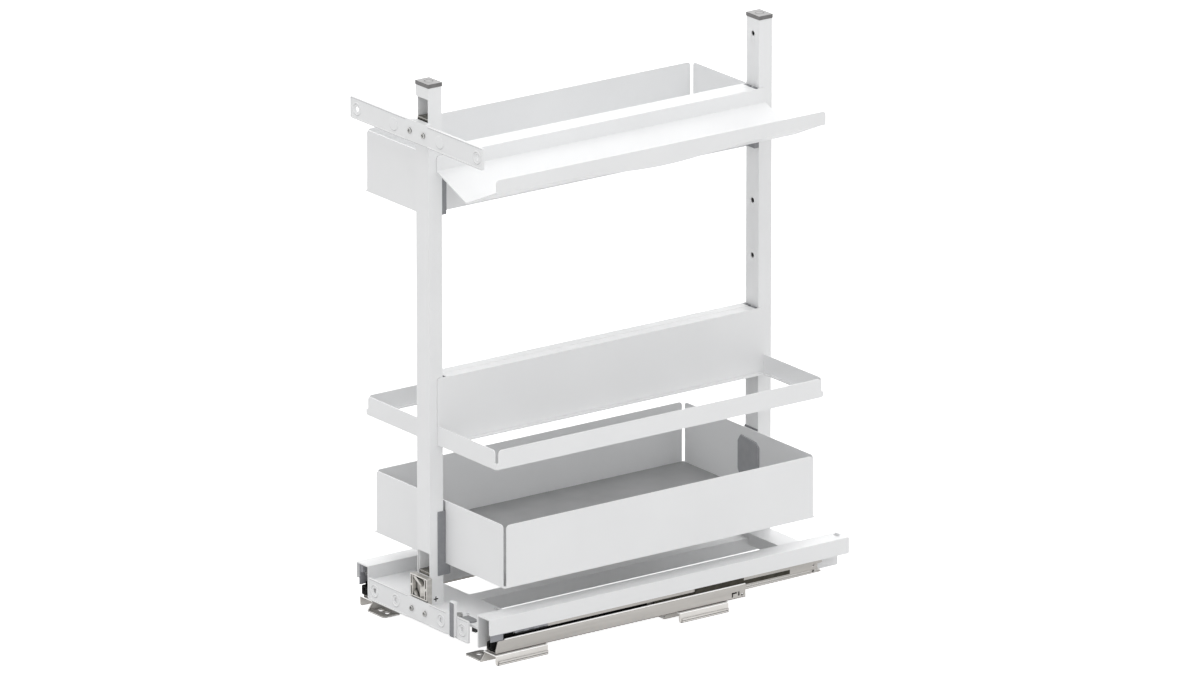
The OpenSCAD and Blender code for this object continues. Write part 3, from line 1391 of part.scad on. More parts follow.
module lever_body() color("white") place() difference() {
  translate([lever_outer_x, 0, 0]) rotate([90, 0, -90]) linear_extrude(lever_outer_x - lever_inner_x)
    lever_outline();
  span([lever_inner_x + lever_wall, lever_outer_x - lever_wall],
    [lever_front_y + lever_pad + lever_wall, bracket_front_y + lever_wall],
    [lever_bottom_z - lever_wall, lever_top_z - lever_wall * 2 - lever_nose_radius]);
  bar_x([lever_inner_x - lever_wall, lever_outer_x + lever_wall], lever_axis_y, lever_axis_z,
    lever_pin_radius);
}

module lever_pad_piece() color("gray") place()
  sheet_across([lever_inner_x, lever_outer_x], lever_front_y,
    [lever_bottom_z + lever_pad, lever_top_z - lever_nose_radius], lever_pad,
    lever_pad, lever_pad, lever_pad, lever_pad);

module lever_pin() color("silver") place()
  bar_x([lever_inner_x, lever_outer_x], lever_axis_y, lever_axis_z, lever_pin_radius);

// Clip block: plastic block on the inner face of a post that carries the flanges
module clip_block(face_y, way, low, high, peg_z) {
  mirror_y = way > 0 ? 0 : 1;
  translate([0, face_y, 0]) mirror([0, mirror_y, 0]) {
    difference() {
      span([-clip_half, clip_half], [0, clip_depth], [low, high]);
      span([-clip_half * 0.5, clip_half * 0.5], [clip_depth * 0.5, clip_depth * 2],
        [low + clip_depth, high - clip_depth]);
    }
    for (side = [-1, 1])
      span([side * clip_half / 2 - nib_width / 2, side * clip_half / 2 + nib_width / 2], [0, nib_depth],
        [high, high + sheet + hang_gap]);
    bar_y(0, [-peg_length, 0], peg_z, peg_hole_radius - peg_play);
  }
}

module upper_clip_front() color("gray") place()
  clip_block(post_depth, 1, upper_clip_z, upper_clip_top_z, upper_peg_z);
module upper_clip_rear() color("gray") place()
  clip_block(post_pitch, -1, upper_clip_z, upper_clip_top_z, upper_peg_z);
module middle_clip_front() color("gray") place()
  clip_block(post_depth, 1, middle_clip_z, middle_clip_top_z, middle_peg_z);
module middle_clip_rear() color("gray") place()
  clip_block(post_pitch, -1, middle_clip_z, middle_clip_top_z, middle_peg_z);

// Lower clip: plate that wraps the post and reaches under the lower tray
module low_clip(face_y, way) {
  ledge_top = lower_bottom_z - hang_gap;
  cheek = low_clip_half - post_half;
  translate([0, face_y, 0]) mirror([0, way > 0 ? 0 : 1, 0]) {
    span([-low_clip_half, low_clip_half], [0, low_clip_plate], [low_clip_z, low_clip_top_z]);
    for (side = [-1, 1])
      span([side > 0 ? post_half : -low_clip_half, side > 0 ? low_clip_half : -post_half],
        [-low_clip_wrap, low_clip_plate], [low_clip_z, low_clip_top_z]);
    span([-low_clip_half, low_clip_half], [0, low_clip_ledge], [low_clip_z, ledge_top]);
    span([-low_clip_half + cheek, low_clip_half - cheek], [0, low_clip_plate / 2],
      [low_clip_top_z, low_clip_top_z + low_clip_tongue]);
    bar_y(0, [-peg_length, 0], lower_peg_z, lower_peg_hole_radius - peg_play);
  }
}

module lower_clip_front() color("gray") place() low_clip(post_depth, 1);
module lower_clip_rear() color("gray") place() low_clip(post_pitch, -1);

// Upper tray, hung on the left of the spine
module upper_tray() color("white") place() mirror([1, 0, 0]) {
  x = [spine_face_x, upper_outer_x];
  y = [hung_front_y, hung_rear_y];
  z = [upper_bottom_z, upper_wall_z];
  span([x[0], x[1]], y, [z[0], z[0] + sheet]);
  sheet_across([x[0] + corner_slot, x[1] - corner_slot], y[0], z, sheet, 0, 0, wall_radius, wall_radius);
  sheet_across([x[0] + corner_slot, x[1] - corner_slot], y[1] - sheet, z, sheet,
    0, 0, wall_radius, wall_radius);
  sheet_along(x[1] - sheet, [y[0] + corner_slot, y[1] - corner_slot], z, sheet,
    0, 0, wall_radius, wall_radius);
  sheet_along(x[0], y, [z[0], upper_flange_z], sheet, 0, 0, wall_radius, wall_radius);
  span([hang_gap, x[0] + sheet], [flange_front_y, flange_rear_y], [upper_flange_z - sheet, upper_flange_z]);
}

// Sloping shelf, hung on the right of the spine
function dip(s) = s <= 0 || s >= 1 ? 0 : (1 - cos(360 * s)) / 2;
dip_steps = 24;
dip_start_y = hung_front_y + lip_straight;
dip_end_y = hung_rear_y - lip_straight + corner_slot;

module sloping_shelf() color("white") place() {
  y = [hung_front_y, hung_rear_y];
  root = spine_face_x;
  edge = shelf_outer_x - sheet;
  slope_rise = sheet * 1.08;
  sheet_along(root, y, [shelf_root_z, upper_flange_z], sheet, 0, 0, wall_radius, wall_radius);
  span([hang_gap, root + sheet], [flange_front_y, flange_rear_y], [upper_flange_z - sheet, upper_flange_z]);
  translate([0, y[1], 0]) rotate([90, 0, 0]) linear_extrude(y[1] - y[0])
    polygon([[root, shelf_root_z], [shelf_valley_x, shelf_valley_z], [edge, lip_low_z],
      [edge, lip_low_z + slope_rise], [shelf_valley_x, shelf_valley_z + slope_rise],
      [root, shelf_root_z + slope_rise]]);
  translate([edge, 0, 0]) rotate([90, 0, 90]) linear_extrude(sheet) difference() {
    polygon(concat([[y[0], lip_top_z], [y[0], lip_low_z]],
      [for (k = [0 : dip_steps]) [dip_start_y + (dip_end_y - dip_start_y) * k / dip_steps,
        lip_low_z - lip_dip * dip(k / dip_steps)]],
      [[y[1], lip_low_z], [y[1], lip_top_z]]));
    corner(y[0], lip_top_z, 1, -1, wall_radius);
    corner(y[1], lip_top_z, -1, -1, wall_radius);
  }
}

// Rack: back panel on the spine with an open rim and a narrow inward lip
module rack(side) {
  x = [spine_face_x, rack_outer_x];
  y = [hung_front_y, hung_rear_y];
  z = [rack_bottom_z, rack_bottom_z + rack_rim_height];
  low = [rack_bottom_z, rack_bottom_z + rack_corner_height];
  on_side(side) color("white") place() {
    sheet_along(x[0], y, [z[0], rack_flange_z], sheet, 0, 0, wall_radius, wall_radius);
    span([hang_gap, x[0] + sheet], [flange_front_y, flange_rear_y], [rack_flange_z - sheet, rack_flange_z]);
    difference() {
      union() {
        for (face = [y[0], y[1] - sheet]) {
          sheet_across([x[0], x[1] - corner_slot], face, z, sheet, 0, 0, wall_radius, 0);
          sheet_across([x[0], x[1]], face, low, sheet, 0, wall_radius * 0.8, 0, 0);
        }
        sheet_along(x[1] - sheet, [y[0] + corner_slot, y[1] - corner_slot], z, sheet,
          0, 0, wall_radius, wall_radius);
        sheet_along(x[1] - sheet, y, low, sheet, wall_radius * 0.8, wall_radius * 0.8, 0, 0);
      }
    }
    difference() {
      span(x, y, [z[0], z[0] + sheet]);
      span([x[0] + rack_lip + sheet, x[1] - rack_lip], [y[0] + rack_lip, y[1] - rack_lip],
        [z[0] - sheet, z[0] + sheet * 2]);
      translate([0, 0, z[0] - sheet]) linear_extrude(sheet * 3) {
        corner(x[1], y[0], -1, 1, wall_radius * 0.8);
        corner(x[1], y[1], -1, -1, wall_radius * 0.8);
      }
    }
  }
}

module rack_left() rack(-1);
module rack_right() rack(1);

// Lower tray between the posts, with a mat and a tab on its rear wall
tab_middle_z = tab_z + tab_height / 2;
module lower_tray() color("white") place() difference() {
  x = [-lower_half, lower_half];
  y = [lower_front_y, low_tray_rear_y];
  z = [lower_bottom_z, low_tray_top_z];
  union() {
    span(x, y, [z[0], z[0] + sheet]);
    for (face = [y[0], y[1] - sheet])
      sheet_across([x[0] + corner_slot, x[1] - corner_slot], face, z, sheet, 0, 0, wall_radius, wall_radius);
    for (face = [x[0], x[1] - sheet])
      sheet_along(face, [y[0] + corner_slot, y[1] - corner_slot], z, sheet, 0, 0, wall_radius, wall_radius);
  }
  bar_y(tab_x, [y[1] - sheet * 2, y[1] + sheet], tab_middle_z, tab_hole_radius);
}

module tray_mat() color("dimgray") place()
  span([-lower_half + sheet + mat_gap, lower_half - sheet - mat_gap],
    [lower_front_y + sheet + mat_gap, low_tray_rear_y - sheet - mat_gap],
    [lower_bottom_z + sheet, lower_bottom_z + sheet + mat_thickness]);

module tray_tab() color("gray") place() {
  rear = low_tray_rear_y - sheet;
  translate([tab_x - tab_width / 2, rear, tab_z]) rotate([90, 0, 0]) linear_extrude(tab_thickness)
    polygon([[tab_bevel / 2, 0], [tab_width - tab_bevel / 2, 0], [tab_width, tab_bevel],
      [tab_width, tab_height - tab_bevel * 1.5], [tab_width - tab_bevel, tab_height - tab_bevel / 2],
      [tab_bevel, tab_height], [0, tab_height - tab_bevel * 1.5], [0, tab_bevel]]);
  bar_y(tab_x, [rear, low_tray_rear_y], tab_middle_z, tab_hole_radius - peg_play);
}

foot_front_left();
foot_front_right();
foot_rear_left();
foot_rear_right();
foot_rivets();
cabinet_member_left();
cabinet_member_right();
middle_member_left();
middle_member_right();
end_piece_left();
end_piece_right();
lower_cage_left();
lower_cage_right();
lower_balls_left();
lower_balls_right();
upper_cage_left();
upper_cage_right();
upper_balls_left();
upper_balls_right();
carriage_member_left();
carriage_member_right();
catch_strip_left();
catch_strip_right();
rail_left();
rail_right();
front_deck();
rear_deck();
centre_beam();
front_post();
rear_post();
post_caps();
upper_insert();
lower_insert();
rear_insert();
post_screws();
upper_adjuster();
lower_adjuster();
bracket_screws();
weld_nuts();
latch_block();
latch_collar();
latch_screw();
upper_bracket();
lower_bracket();
lever_body();
lever_pad_piece();
lever_pin();
upper_clip_front();
upper_clip_rear();
middle_clip_front();
middle_clip_rear();
lower_clip_front();
lower_clip_rear();
upper_tray();
sloping_shelf();
rack_left();
rack_right();
lower_tray();
tray_mat();
tray_tab();
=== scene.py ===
"""The looks of a pull out larder unit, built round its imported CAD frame."""
import json
import math

import bpy
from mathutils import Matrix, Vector

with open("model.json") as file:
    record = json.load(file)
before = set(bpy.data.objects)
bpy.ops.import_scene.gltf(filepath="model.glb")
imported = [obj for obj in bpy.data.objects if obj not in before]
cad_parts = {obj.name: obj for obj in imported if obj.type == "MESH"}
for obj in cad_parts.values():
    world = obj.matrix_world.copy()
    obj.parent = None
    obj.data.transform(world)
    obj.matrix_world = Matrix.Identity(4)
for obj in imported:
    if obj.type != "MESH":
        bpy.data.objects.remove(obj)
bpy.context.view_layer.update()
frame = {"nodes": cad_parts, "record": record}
scene = bpy.context.scene
NODES = frame["nodes"]
MM = 0.001

# Camera: nearly parallel view from the right of the door side
CAMERA_AZIMUTH = math.radians(53.962)
CAMERA_ELEVATION = math.radians(17.575)
CAMERA_DISTANCE = 16.8658
CAMERA_TARGET = Vector((0.00736, -0.00464, 0.30457))
CAMERA_LENS = 457.26
CAMERA_SENSOR = 36.0
CAMERA_NEAR = 1.0
CAMERA_FAR = 60.0

toward_camera = Vector((math.sin(CAMERA_AZIMUTH) * math.cos(CAMERA_ELEVATION),
                        -math.cos(CAMERA_AZIMUTH) * math.cos(CAMERA_ELEVATION),
                        math.sin(CAMERA_ELEVATION)))
camera_data = bpy.data.cameras.new("camera")
camera_data.lens = CAMERA_LENS
camera_data.sensor_width = CAMERA_SENSOR
camera_data.clip_start = CAMERA_NEAR
camera_data.clip_end = CAMERA_FAR
camera = bpy.data.objects.new("camera", camera_data)
scene.collection.objects.link(camera)
camera.location = CAMERA_TARGET + toward_camera * CAMERA_DISTANCE
camera.rotation_mode = "QUATERNION"
camera.rotation_quaternion = (-toward_camera).to_track_quat("-Z", "Y")
scene.camera = camera


def calculate(tree, operation, first, second, clamp=False):
    """The result of a sum on two values, each a socket or a plain number."""
    node = tree.nodes.new("ShaderNodeMath")
    node.operation = operation
    node.use_clamp = clamp
    for socket, value in zip(node.inputs, (first, second)):
        if isinstance(value, bpy.types.NodeSocket):
            tree.links.new(value, socket)
        else:
            socket.default_value = value
    return node.outputs["Value"]


def ranged(tree, value, low, high, start=0.0, end=1.0):
    """Maps the span from low to high onto the span from start to end, and goes no further."""
    node = tree.nodes.new("ShaderNodeMapRange")
    node.inputs["From Min"].default_value = low
    node.inputs["From Max"].default_value = high
    node.inputs["To Min"].default_value = start
    node.inputs["To Max"].default_value = end
    tree.links.new(value, node.inputs["Value"])
    return node.outputs["Result"]


# The span that most of a noise lies in
NOISE_LOW = 0.3
NOISE_HIGH = 0.7
# Rays for each rounded edge and each hollow
WEAR_HIGHLIGHT_SAMPLES = 4
LIT_SAMPLES = 8
HOLLOW_SAMPLES = 8
# Likeness of the rounded normal and the true one, where the edge wear and painted highlight starts
# and where it is full
WEAR_HIGHLIGHT_START = 0.98
WEAR_HIGHLIGHT_FULL = 0.80
# Rise of the rounded normal over the true one, where an edge's painted highlight and painted shade
# line start to show and where they are full
TURN_START = 0.05
TURN_FULL = 0.5


class Recipe:
    """A node material that is put together step by step."""

    def __init__(self, name):
        self.material = bpy.data.materials.new(name)
        self.material.use_nodes = True
        self.tree = self.material.node_tree
        self.tree.nodes.clear()
        output = self.tree.nodes.new("ShaderNodeOutputMaterial")
        self.shader = self.tree.nodes.new("ShaderNodeBsdfPrincipled")
        self.link(self.shader, "BSDF", output, "Surface")
        self.place = self.tree.nodes.new("ShaderNodeTexCoord")

    def link(self, source, out_name, target, in_name):
        self.tree.links.new(source.outputs[out_name], target.inputs[in_name])

    def set(self, **values):
        """Sets numbers that are the same all over the surface."""
        for name, value in values.items():
            self.shader.inputs[name.replace("_", " ")].default_value = value

    def noise(self, scale, detail=2.0, stretch=(1.0, 1.0, 1.0)):
        """Noise in object coordinates, which may be stretched along the axes as rolled grain is."""
        mapping = self.tree.nodes.new("ShaderNodeMapping")
        mapping.inputs["Scale"].default_value = stretch
        self.link(self.place, "Object", mapping, "Vector")
        texture = self.tree.nodes.new("ShaderNodeTexNoise")
        texture.inputs["Scale"].default_value = scale
        texture.inputs["Detail"].default_value = detail
        self.link(mapping, "Vector", texture, "Vector")
        return texture

    def spread(self, texture, low, high):
        """Maps a noise's middle values onto the span from low to high."""
        return ranged(self.tree, texture.outputs["Fac"], NOISE_LOW, NOISE_HIGH, low, high)

    def colour(self, texture, dark, light):
        """Base colour that wanders between two close tones."""
        self.blend(self.spread(texture, 0.0, 1.0), light, dark)

    def blend(self, share, above, below=None):
        """Mixes a colour by a share over another, or over what the base colour is now."""
        base = self.shader.inputs["Base Color"]
        mix = self.tree.nodes.new("ShaderNodeMix")
        mix.data_type = "RGBA"
        amount, lower, upper = (mix.inputs[number] for number in (0, 6, 7))
        self.tree.links.new(share, amount)
        if below is None:
            self.tree.links.new(base.links[0].from_socket, lower)
        else:
            lower.default_value = (*below, 1.0)
        upper.default_value = (*above, 1.0)
        self.tree.links.new(mix.outputs[2], base)

    def rounded_normal(self, radius, samples):
        """The normal that the surface would have with rounded edges."""
        rounded = self.tree.nodes.new("ShaderNodeBevel")
        rounded.samples = samples
        rounded.inputs["Radius"].default_value = radius
        return rounded

    def wear_highlight_edges(self, radius, tint, strength):
        """Wear on edges together with a painted highlight: lays the tint over the base colour where
        a rounded normal leaves the true one.
        """
        rounded = self.rounded_normal(radius, WEAR_HIGHLIGHT_SAMPLES)
        shape = self.tree.nodes.new("ShaderNodeNewGeometry")
        likeness = self.tree.nodes.new("ShaderNodeVectorMath")
        likeness.operation = "DOT_PRODUCT"
        self.link(rounded, "Normal", likeness, 0)
        self.link(shape, "Normal", likeness, 1)
        value = likeness.outputs["Value"]
        self.blend(ranged(self.tree, value, WEAR_HIGHLIGHT_START, WEAR_HIGHLIGHT_FULL, 0.0, strength), tint)

    def part_of(self, source, out_name, axis):
        """The share of a normal or a place along one axis."""
        axes = self.tree.nodes.new("ShaderNodeSeparateXYZ")
        self.link(source, out_name, axes, "Vector")
        return axes.outputs[axis]

    def lit_edges(self, radius, bright, dull, bright_strength, shade_strength):
        """Painted highlights on edges that turn up and painted shade lines on edges that turn down.
        """
        rounded = self.rounded_normal(radius, LIT_SAMPLES)
        shape = self.tree.nodes.new("ShaderNodeNewGeometry")
        true_height = self.part_of(shape, "True Normal", "Z")
        rounded_height = self.part_of(rounded, "Normal", "Z")
        turn = calculate(self.tree, "SUBTRACT", rounded_height, true_height)
        upright = calculate(self.tree, "SUBTRACT", 1.0, true_height, clamp=True)
        for side, tint, strength in ((1.0, bright, bright_strength), (-1.0, dull, shade_strength)):
            shown = ranged(self.tree, turn, side * TURN_START, side * TURN_FULL, 0.0, strength)
            self.blend(calculate(self.tree, "MULTIPLY", shown, upright), tint)

    def painted_band(self, low, high, tint):
        """Another base colour between two heights: a painted highlight line along an edge with a
        light tint, a painted shade line with a dark one.
        """
        height = self.part_of(self.place, "Object", "Z")
        over = calculate(self.tree, "GREATER_THAN", height, low)
        under = calculate(self.tree, "LESS_THAN", height, high)
        self.blend(calculate(self.tree, "MULTIPLY", over, under), tint)

    def shaded_corners(self, reach, tint, bare, deep):
        """Painted shade: lays the tint over the base colour where the view of the air falls from
        bare to deep.
        """
        hollow = self.tree.nodes.new("ShaderNodeAmbientOcclusion")
        hollow.samples = HOLLOW_SAMPLES
        hollow.inputs["Distance"].default_value = reach
        self.blend(ranged(self.tree, hollow.outputs["AO"], bare, deep), tint)

    def rough(self, texture, low, high):
        self.tree.links.new(self.spread(texture, low, high), self.shader.inputs["Roughness"])

    def bump(self, texture, height):
        """Relief of the given height in metres."""
        node = self.tree.nodes.new("ShaderNodeBump")
        node.inputs["Strength"].default_value = 1.0
        node.inputs["Distance"].default_value = height
        self.link(texture, "Fac", node, "Height")
        self.link(node, "Normal", self.shader, "Normal")


# Tints for edges and hollows: wear with a painted highlight, painted highlights on upturned edges,
# painted shade lines on downturned edges, and painted shade in corners and slits
WEAR_HIGHLIGHT_COAT = (0.97, 0.975, 0.975)
LIT_COAT = (1.0, 1.0, 1.0)
SHADE_LINE_COAT = (0.30, 0.305, 0.305)
RECESS_SHADE_COAT = (0.002, 0.002, 0.002)
WEAR_HIGHLIGHT_ZINC = (0.86, 0.84, 0.81)
LIT_ZINC = (1.0, 0.99, 0.98)
SHADE_LINE_ZINC = (0.08, 0.07, 0.06)
SHADED_ZINC = (0.12, 0.11, 0.10)
CORNER_SHADE_ZINC = (0.01, 0.01, 0.01)
WEAR_HIGHLIGHT_CAST = (0.92, 0.90, 0.86)
LIT_CAST = (1.0, 0.98, 0.95)
SHADE_LINE_CAST = (0.10, 0.09, 0.08)
CORNER_SHADE_CAST = (0.004, 0.004, 0.004)
# How much lighter plastic gets on its edges, as wear with a painted highlight
WEAR_HIGHLIGHT_PLASTIC = 1.5
# Stretch of even grain and of grain that was rolled along the runner
EVEN_GRAIN = (1.0, 1.0, 1.0)
ROLLED_GRAIN = (1.0, 0.05, 1.0)
# Relief in metres
FINE_RELIEF = 0.00001
PLASTIC_RELIEF = 0.000012
CAST_RELIEF = 0.00002
MAT_RELIEF = 0.00004


def powder_coat(name, dark, light, edge=0.45, shade_strength=0.0, recess_shade_reach=0.0):
    """White powder coat: satin, with a faint orange peel, slow changes of tone, painted highlights
    on its edges, and where asked painted shade lines under its edges and painted shade in its
    recesses.
    """
    recipe = Recipe(name)
    recipe.colour(recipe.noise(scale=9.0, detail=3.0), dark, light)
    recipe.wear_highlight_edges(edge * MM, WEAR_HIGHLIGHT_COAT, strength=0.6)
    recipe.lit_edges(edge * MM, LIT_COAT, SHADE_LINE_COAT, bright_strength=1.0,
                     shade_strength=shade_strength)
    if recess_shade_reach:
        recipe.shaded_corners(recess_shade_reach * MM, RECESS_SHADE_COAT, bare=0.9, deep=0.6)
    recipe.rough(recipe.noise(scale=60.0, detail=4.0), low=0.36, high=0.46)
    recipe.bump(recipe.noise(scale=900.0), FINE_RELIEF)
    recipe.set(IOR=1.5)
    return recipe.material


def zinc_plate(name, dark, light, stretch, painted_bands=()):
    """Zinc plated steel: grain, cloudy tone, painted highlights on its edges, painted shade lines
    under them, painted shade in its corners, and any painted lines given at set heights.
    """
    recipe = Recipe(name)
    recipe.colour(recipe.noise(scale=70.0, detail=5.0, stretch=stretch), dark, light)
    recipe.wear_highlight_edges(0.6 * MM, WEAR_HIGHLIGHT_ZINC, strength=0.5)
    recipe.lit_edges(0.7 * MM, LIT_ZINC, SHADE_LINE_ZINC, bright_strength=1.0, shade_strength=0.6)
    for low, high, tint in painted_bands:
        recipe.painted_band(low * MM, high * MM, tint)
    recipe.shaded_corners(2.5 * MM, CORNER_SHADE_ZINC, bare=0.65, deep=0.3)
    recipe.rough(recipe.noise(scale=200.0, detail=4.0, stretch=stretch), low=0.3, high=0.5)
    recipe.bump(recipe.noise(scale=1400.0, stretch=stretch), FINE_RELIEF)
    recipe.set(Metallic=0.85)
    return recipe.material


def moulded(name, dark, light, low, high, shine=0.5):
    """Moulded plastic: fine eroded grain, a little wander in tone and gloss, and lighter edges that
    are wear with a painted highlight.
    """
    recipe = Recipe(name)
    recipe.colour(recipe.noise(scale=140.0, detail=4.0), dark, light)
    wear_highlight = tuple(min(1.0, tone * WEAR_HIGHLIGHT_PLASTIC) for tone in light)
    recipe.wear_highlight_edges(0.6 * MM, wear_highlight, strength=0.8)
    recipe.set(Specular_IOR_Level=shine)
    recipe.rough(recipe.noise(scale=90.0, detail=3.0), low, high)
    recipe.bump(recipe.noise(scale=2600.0), PLASTIC_RELIEF)
    return recipe.material


def cast(name, dark, light):
    """Die cast zinc: dull metal with a mottled skin, painted highlights and painted shade lines on
    its edges, and painted shade in its hollows.
    """
    recipe = Recipe(name)
    recipe.colour(recipe.noise(scale=240.0, detail=5.0), dark, light)
    recipe.wear_highlight_edges(0.6 * MM, WEAR_HIGHLIGHT_CAST, strength=0.7)
    recipe.lit_edges(1.4 * MM, LIT_CAST, SHADE_LINE_CAST, bright_strength=1.0, shade_strength=0.8)
    recipe.shaded_corners(3.5 * MM, CORNER_SHADE_CAST, bare=0.85, deep=0.5)
    recipe.rough(recipe.noise(scale=300.0, detail=4.0), low=0.35, high=0.6)
    recipe.bump(recipe.noise(scale=1500.0, detail=3.0), CAST_RELIEF)
    recipe.set(Metallic=0.7)
    return recipe.material


def mat_rubber(name, dark, light):
    """Anti slip mat: fine fibrous grain on a grey sheet."""
    recipe = Recipe(name)
    recipe.colour(recipe.noise(scale=22.0, detail=6.0), dark, light)
    recipe.rough(recipe.noise(scale=50.0, detail=3.0), low=0.6, high=0.8)
    recipe.bump(recipe.noise(scale=1100.0, detail=3.0), MAT_RELIEF)
    return recipe.material


def cap_plastic_lit_top(name, dark, light, top):
    """Moulded cap: dark grey sides, and a paler smooth top that is painted light on the faces that
    turn up.
    """
    recipe = Recipe(name)
    recipe.colour(recipe.noise(scale=140.0, detail=4.0), dark, light)
    lit_upward = recipe.part_of(recipe.place, "Normal", "Z")
    recipe.blend(ranged(recipe.tree, lit_upward, low=0.8, high=0.95), top)
    recipe.rough(recipe.noise(scale=90.0, detail=3.0), low=0.3, high=0.42)
    recipe.bump(recipe.noise(scale=1800.0), FINE_RELIEF)
    return recipe.material


def two_tone(name, dark, light, low_tone, split, start=-1.0):
    """Moulded plastic that is darker under the split's height, from the start to the rear."""
    recipe = Recipe(name)
    recipe.colour(recipe.noise(scale=140.0, detail=4.0), dark, light)
    height = recipe.part_of(recipe.place, "Object", "Z")
    depth = recipe.part_of(recipe.place, "Object", "Y")
    lower = calculate(recipe.tree, "LESS_THAN", height, split)
    behind = calculate(recipe.tree, "GREATER_THAN", depth, start)
    recipe.blend(calculate(recipe.tree, "MULTIPLY", lower, behind), low_tone)
    recipe.rough(recipe.noise(scale=90.0, detail=3.0), low=0.4, high=0.55)
    recipe.bump(recipe.noise(scale=2600.0), PLASTIC_RELIEF)
    return recipe.material


# White pieces: two close tones for each
COAT_DARK = (0.87, 0.875, 0.88)
COAT_LIGHT = (0.90, 0.905, 0.91)
WHITE = powder_coat("white_powder_coat", COAT_DARK, COAT_LIGHT)
# Pressed brackets: the same white with wider painted highlights and painted shade lines on their
# rims
PRESSED_EDGE_LIGHT = powder_coat("pressed_white_edge_light", COAT_DARK, COAT_LIGHT, edge=1.2, shade_strength=0.8)
# Decks and centre beam: the same white made lighter, as painted light
DECK_PAINTED_LIGHT = powder_coat("deck_white_painted_light", (0.94, 0.945, 0.95), (0.97, 0.975, 0.98))
# Post screws: white paint with painted shade in the cross recess
PAINTED = powder_coat("painted_screw", COAT_DARK, COAT_LIGHT, recess_shade_reach=4.0)

# Metal pieces, with the heights in millimetres of their painted highlight lines and painted shade
# line
MEMBER_TOP_HIGHLIGHT = (26.8, 28.2, LIT_ZINC)
MEMBER_BOTTOM_SHADE = (12.0, 12.8, SHADED_ZINC)
FOOT_TOP_HIGHLIGHT = (10.9, 12.1, LIT_ZINC)
ZINC = zinc_plate("zinc_plate", (0.41, 0.395, 0.375), (0.51, 0.49, 0.465), ROLLED_GRAIN)
# Cabinet members: zinc with a painted highlight line along the top and a painted shade line along
# the bottom
MEMBER_PAINTED_LINES = zinc_plate("member_zinc_painted_lines", (0.43, 0.415, 0.395), (0.53, 0.51, 0.485), ROLLED_GRAIN,
                    (MEMBER_TOP_HIGHLIGHT, MEMBER_BOTTOM_SHADE))
# Feet: the zinc made much lighter, as painted light, with a painted highlight line along their top
FOOT_PAINTED_LIGHT = zinc_plate("foot_zinc_painted_light", (0.66, 0.64, 0.615), (0.78, 0.76, 0.73), ROLLED_GRAIN,
                  (FOOT_TOP_HIGHLIGHT,))
STEEL = zinc_plate("screw_steel", (0.42, 0.42, 0.41), (0.56, 0.56, 0.55), EVEN_GRAIN)
CAST = cast("cast_zinc", (0.56, 0.54, 0.51), (0.72, 0.70, 0.67))
# Inserts inside the posts: the cast zinc made darker, as painted shade
INSERT_PAINTED_SHADE = cast("insert_zinc_painted_shade", (0.20, 0.19, 0.17), (0.27, 0.26, 0.235))

# Plastic pieces
GREY = moulded("grey_plastic", (0.235, 0.24, 0.255), (0.27, 0.275, 0.29), low=0.42, high=0.55)
# Caps: upward faces painted paler, as painted light
CAP_LIT_TOP = cap_plastic_lit_top("cap_plastic_lit_top", (0.15, 0.145, 0.145), (0.19, 0.185, 0.185),
                  top=(0.30, 0.295, 0.295))
LATCH_SPLIT = 37.0 * MM
LATCH = two_tone("latch_plastic", (0.28, 0.285, 0.295), (0.33, 0.335, 0.345),
                 low_tone=(0.03, 0.03, 0.03), split=LATCH_SPLIT)
BLACK = moulded("black_plastic", (0.002, 0.002, 0.002), (0.005, 0.005, 0.005),
                low=0.5, high=0.65, shine=0.08)
CAGE = moulded("cage_plastic", (0.035, 0.032, 0.024), (0.06, 0.055, 0.042),
               low=0.5, high=0.65, shine=0.2)
TAB = moulded("tab_plastic", (0.36, 0.365, 0.38), (0.40, 0.405, 0.42), low=0.42, high=0.55)
MAT = mat_rubber("tray_mat_rubber", (0.33, 0.333, 0.337), (0.38, 0.383, 0.387))

# Catch strip: grey nose, and behind it a grey strip whose lowest part is painted black as the shade
# of the gap under the rail
STRIP_NOSE_LENGTH = 17.6 * MM
STRIP_NOTCH_LENGTH = 20.0 * MM
STRIP_SHADE_HEIGHT = 1.3 * MM
strip_corners = [corner.co for corner in NODES["catch_strip_right"].data.vertices]
strip_start = min(corner.y for corner in strip_corners) + STRIP_NOSE_LENGTH
strip_bottom = min(corner.z for corner in strip_corners
                   if corner.y > strip_start + STRIP_NOTCH_LENGTH)
CATCH_PAINTED_SHADE = two_tone("catch_plastic_painted_shade", (0.30, 0.305, 0.33), (0.35, 0.355, 0.38),
                 low_tone=(0.004, 0.004, 0.004), split=strip_bottom + STRIP_SHADE_HEIGHT,
                 start=strip_start)

SLOT_MATERIALS = {"zinc": ZINC, "steel": STEEL, "black_plastic": BLACK, "cage_plastic": CAGE,
                  "grey_plastic": GREY, "white_paint": WHITE, "cast_zinc": CAST, "mat_grey": MAT}
PRESSED_NODES = ("upper_bracket", "lower_bracket")
GROUPS = ((CAP_LIT_TOP, ("post_caps",)), (LATCH, ("latch_block",)), (PAINTED, ("post_screws",)),
          (CATCH_PAINTED_SHADE, ("catch_strip_left", "catch_strip_right")), (TAB, ("tray_tab",)),
          (INSERT_PAINTED_SHADE, ("upper_insert", "lower_insert", "rear_insert")), (PRESSED_EDGE_LIGHT, PRESSED_NODES),
          (DECK_PAINTED_LIGHT, ("front_deck", "rear_deck", "centre_beam")),
          (MEMBER_PAINTED_LINES, ("cabinet_member_left", "cabinet_member_right")),
          (FOOT_PAINTED_LIGHT, ("foot_front_left", "foot_front_right", "foot_rear_left", "foot_rear_right")))
NODE_MATERIALS = {name: material for material, names in GROUPS for name in names}

